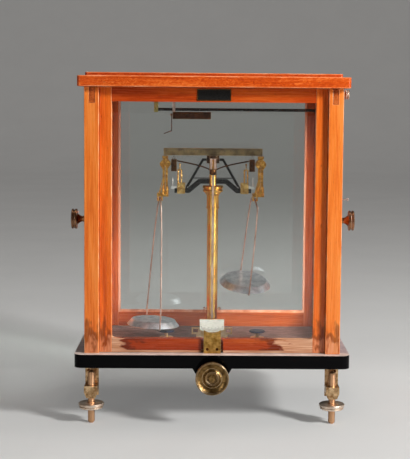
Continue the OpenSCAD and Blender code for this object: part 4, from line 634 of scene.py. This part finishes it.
def ruled_marks():
    """A ruled row of marks along x from each point, every few of them longer, bowed upwards at its
    ends by Bow."""
    tree, given = new_growth("ruled marks", {
        "Marks": "Int", "Spacing": "Float", "Short": "Float", "Long": "Float", "Every": "Int",
        "Width": "Float", "Depth": "Float", "Bow": "Float", "Finish": "Material"})
    step = add(tree, "ShaderNodeCombineXYZ", {"X": given["Spacing"]})
    row = add(tree, "GeometryNodeMeshLine", {"Count": given["Marks"], "Offset": step.outputs[0]})
    last = add(tree, "ShaderNodeMath", {0: given["Marks"], 1: 1.0}, operation="SUBTRACT")
    middle = add(tree, "ShaderNodeMath", {0: last.outputs[0], 1: 0.5}, operation="MULTIPLY")
    index = add(tree, "GeometryNodeInputIndex").outputs[0]
    from_middle = add(tree, "ShaderNodeMath", {0: index, 1: middle.outputs[0]}, operation="SUBTRACT")
    share = add(tree, "ShaderNodeMath", {0: from_middle.outputs[0], 1: middle.outputs[0]},
                operation="DIVIDE")
    square = add(tree, "ShaderNodeMath", {0: share.outputs[0], 1: share.outputs[0]}, operation="MULTIPLY")
    rise = add(tree, "ShaderNodeMath", {0: square.outputs[0], 1: given["Bow"]}, operation="MULTIPLY")
    across = add(tree, "ShaderNodeMath", {0: middle.outputs[0], 1: given["Spacing"]}, operation="MULTIPLY")
    back = add(tree, "ShaderNodeMath", {0: across.outputs[0], 1: -1.0}, operation="MULTIPLY")
    shift = add(tree, "ShaderNodeCombineXYZ", {"X": back.outputs[0], "Z": rise.outputs[0]})
    bowed = add(tree, "GeometryNodeSetPosition", {"Geometry": row.outputs[0], "Offset": shift.outputs[0]})
    count = add(tree, "ShaderNodeMath", {0: from_middle.outputs[0], 1: given["Every"]},
                operation="FLOORED_MODULO")
    plain = add(tree, "ShaderNodeMath", {0: count.outputs[0], 1: 0.5}, operation="GREATER_THAN")
    length = add(tree, "ShaderNodeMix", {0: plain.outputs[0], 2: given["Long"], 3: given["Short"]})
    size = add(tree, "ShaderNodeCombineXYZ", {
        "X": given["Width"], "Y": given["Depth"], "Z": length.outputs[0]})
    cube = add(tree, "GeometryNodeMeshCube")
    stood = add(tree, "GeometryNodeTransform", {"Geometry": cube.outputs[0], "Translation": (0, 0, 0.5)})
    marks = add(tree, "GeometryNodeInstanceOnPoints", {
        "Points": bowed.outputs[0], "Instance": stood.outputs[0], "Scale": size.outputs[0]})
    rows = add(tree, "GeometryNodeInstanceOnPoints", {
        "Points": given["Geometry"], "Instance": marks.outputs[0]})
    return finish_growth(tree, given, rows.outputs[0])


def take_heads(piece, thickest=3 * MM):
    """Takes the plain screw heads out of a dressed copy, and gives the middle of each one's seat in an
    order that is the same each run."""
    work = bmesh.new()
    work.from_mesh(piece.data)
    seats, left = [], set(work.verts)
    while left:
        island = {left.pop()}
        rim = list(island)
        while rim:
            vert = rim.pop()
            for link in vert.link_edges:
                other = link.other_vert(vert)
                if other not in island:
                    island.add(other)
                    rim.append(other)
        left -= island
        low = Vector([min(v.co[i] for v in island) for i in range(3)])
        high = Vector([max(v.co[i] for v in island) for i in range(3)])
        if high.y - low.y < thickest:
            seats.append(((low.x + high.x) / 2, high.y, (low.z + high.z) / 2))
            bmesh.ops.delete(work, geom=list(island), context="VERTS")
    work.to_mesh(piece.data)
    work.free()
    return sorted(seats)


screw_tree, rim_tree, mark_tree = slotted_heads(), milled_edge(), ruled_marks()
RIDGE = 0.3 * MM
MARK_DEPTH = 0.12 * MM

seats = take_heads(pieces["brass_fittings"])
grow("screw_heads", screw_tree, seats, {
    "Head": 5 * MM, "Height": 1.1 * MM, "Slot": 0.9 * MM, "Seed": 7, "Finish": tan_brass},
    "base")

# The arrestment knob: the middle of its rim and the floor of its dish lie behind its front
knob_low, knob_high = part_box("arrest_knob")
knob_z = (knob_low.z + knob_high.z) / 2
knob_r = (knob_high.z - knob_low.z) / 2
rim_y, dish_y = knob_low.y + 4.75 * MM, knob_low.y + 5.3 * MM
grow("knob_milling", rim_tree, [(0, rim_y, knob_z)], {
    "Ridges": 120, "Radius": knob_r - RIDGE, "Ridge": RIDGE, "Length": 7 * MM,
    "Tip": math.radians(90), "Finish": pink_brass}, "knob")
grow("knob_screw", screw_tree, [(0, dish_y, knob_z)], {
    "Head": 13 * MM, "Height": 2.4 * MM, "Slot": 2.2 * MM, "Seed": 5, "Finish": toned_brass},
    "knob")

# The middle of a levelling disc's upper rim, above the bench
upper_rim_z = 31.6 * MM
for side in ("left", "right"):
    low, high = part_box(side + "_foot_screw")
    middle = (low + high) / 2
    grow(side + "_foot_milling", rim_tree, [(middle.x, middle.y, upper_rim_z)], {
        "Ridges": 104, "Radius": (high.x - low.x) / 2 - RIDGE, "Ridge": RIDGE, "Length": 2.2 * MM,
        "Tip": 0.0, "Finish": pink_brass}, side + "_screw")

# Ruled marks hang from near the bar's top, and stand up from near the scale's foot
bar_low, bar_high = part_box("rider_bar")
grow("rider_marks", mark_tree, [(0, bar_low.y, bar_high.z - 0.9 * MM)], {
    "Marks": 81, "Spacing": 2 * MM, "Short": -3 * MM, "Long": -5.5 * MM, "Every": 5,
    "Width": 0.5 * MM, "Depth": MARK_DEPTH, "Bow": 0.0, "Finish": mark_black}, "beam")
scale_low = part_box("ivory_scale")[0]
grow("scale_marks", mark_tree, [(0, scale_low.y, scale_low.z + 2.2 * MM)], {
    "Marks": 19, "Spacing": 2 * MM, "Short": 3.6 * MM, "Long": 6 * MM, "Every": 3,
    "Width": 0.45 * MM, "Depth": MARK_DEPTH, "Bow": 3 * MM, "Finish": mark_black}, "base")


# Stage

def set_camera():
    """The photograph's place, aim, lens and framing, from a fit to the case's corners."""
    picture_w, picture_h, sensor_w = 410, 459, 36
    focal_px, centre_x_px, centre_y_px = 1182.3, 220.71, 203.99
    yaw, pitch, roll = math.radians(0.84), math.radians(5.10), math.radians(0.49)
    plate_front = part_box("base_plate")[0].y
    stand = Vector((-16.0 * MM, plate_front - 1892.7 * MM, 534.3 * MM))
    forward = Vector((math.sin(yaw) * math.cos(pitch), math.cos(yaw) * math.cos(pitch), -math.sin(pitch)))
    level = Vector((math.cos(yaw), -math.sin(yaw), 0))
    above = level.cross(forward)
    right = level * math.cos(roll) + above * math.sin(roll)
    up = above * math.cos(roll) - level * math.sin(roll)
    data = bpy.data.cameras.new("camera")
    data.sensor_fit = "HORIZONTAL"
    data.sensor_width = sensor_w
    data.lens = focal_px / picture_w * sensor_w
    data.shift_x = (picture_w / 2 - centre_x_px) / picture_w
    data.shift_y = (centre_y_px - picture_h / 2) / picture_w
    camera = bpy.data.objects.new("camera", data)
    bpy.context.scene.collection.objects.link(camera)
    turn = Matrix((right, up, -forward)).transposed().to_4x4()
    camera.matrix_world = Matrix.Translation(stand) @ turn
    bpy.context.scene.camera = camera


def lamp(name, place, size, power):
    """A soft rectangular studio lamp, aimed at the middle of the case."""
    middle = Vector((0, 0, 0.3))
    data = bpy.data.lights.new(name, "AREA")
    data.shape = "RECTANGLE"
    data.size, data.size_y = size
    data.energy = power
    light = bpy.data.objects.new(name, data)
    bpy.context.scene.collection.objects.link(light)
    light.visible_camera = False
    light.location = place
    light.rotation_euler = (middle - light.location).to_track_quat("-Z", "Y").to_euler()


def sweep():
    """A grey paper sweep: a floor that curves up into a plain back wall. It is wide enough, in metres,
    to lie behind the case from every side. It glows a little where it is seen, and less in mirrors."""
    half_w, front, back, bend, top = 40.0, -40.0, 9.0, 3.0, 9.0
    glow_strength, mirror_share, steps = 0.15, 0.3, 12
    profile = [(front, 0.0)]
    for i in range(steps + 1):
        a = math.radians(90 * i / steps)
        profile.append((back - bend + bend * math.sin(a), bend - bend * math.cos(a)))
    profile.append((back, top))
    verts = [(x, y, z) for y, z in profile for x in (-half_w, half_w)]
    faces = [(2 * i, 2 * i + 1, 2 * i + 3, 2 * i + 2) for i in range(len(profile) - 1)]
    mesh = bpy.data.meshes.new("paper_sweep")
    mesh.from_pydata(verts, [], faces)
    mesh.shade_smooth()
    material, tree, surface, output = new_material("pale grey paper")
    where = add(tree, "ShaderNodeTexCoord").outputs["Object"]
    tooth = add(tree, "ShaderNodeTexNoise", {"Vector": where, "Scale": 3.0, "Detail": 3.0})
    tone = add(tree, "ShaderNodeValToRGB", {"Fac": tooth.outputs[0]},
               stops=[(0.3, "#BDBDBB"), (0.7, "#C3C3C1")])
    tree.links.new(tone.outputs[0], surface.inputs["Base Color"])
    surface.inputs["Roughness"].default_value = 0.9
    surface.inputs["Specular IOR Level"].default_value = 0.05
    seen = add(tree, "ShaderNodeLightPath").outputs
    through = add(tree, "ShaderNodeMath", {0: seen["Is Camera Ray"], 1: seen["Is Transmission Ray"]},
                  operation="MAXIMUM")
    mirrored = add(tree, "ShaderNodeMath", {0: seen["Is Glossy Ray"], 1: mirror_share},
                   operation="MULTIPLY")
    shown = add(tree, "ShaderNodeMath", {0: through.outputs[0], 1: mirrored.outputs[0]},
                operation="MAXIMUM")
    lift = add(tree, "ShaderNodeMath", {0: shown.outputs[0], 1: glow_strength}, operation="MULTIPLY")
    glow = add(tree, "ShaderNodeEmission", {"Strength": lift.outputs[0]})
    both = add(tree, "ShaderNodeAddShader", {0: surface.outputs[0], 1: glow.outputs[0]})
    tree.links.new(both.outputs[0], output.inputs["Surface"])
    mesh.materials.append(material)
    paper = bpy.data.objects.new("paper_sweep", mesh)
    bpy.context.scene.collection.objects.link(paper)


def set_world():
    """A dim, even surround that fills the shadows. The camera sees it in the far paper's tone, so that
    the sweep has no edge."""
    world = bpy.data.worlds.new("studio")
    world.use_nodes = True
    tree = world.node_tree
    tree.nodes.clear()
    fill = add(tree, "ShaderNodeBackground", {"Color": colour("#8C847A"), "Strength": 0.34})
    far = add(tree, "ShaderNodeBackground", {"Color": colour("#787877"), "Strength": 1.0})
    seen = add(tree, "ShaderNodeLightPath").outputs["Is Camera Ray"]
    both = add(tree, "ShaderNodeMixShader", {0: seen, 1: fill.outputs[0], 2: far.outputs[0]})
    add(tree, "ShaderNodeOutputWorld", {"Surface": both.outputs[0]})
    bpy.context.scene.world = world


set_camera()
set_world()
sweep()
lamp("key lamp", place=(2.1, -1.6, 1.6), size=(0.45, 0.5), power=98)
lamp("fill lamp", place=(-1.45, -2.4, 0.7), size=(0.5, 1.9), power=8)
lamp("strip lamp", place=(1.9, -1.45, 0.3), size=(0.26, 1.3), power=12)
lamp("top lamp", place=(0.1, 0.2, 2.4), size=(1.6, 1.2), power=8)
bpy.context.scene.view_settings.view_transform = "Standard"
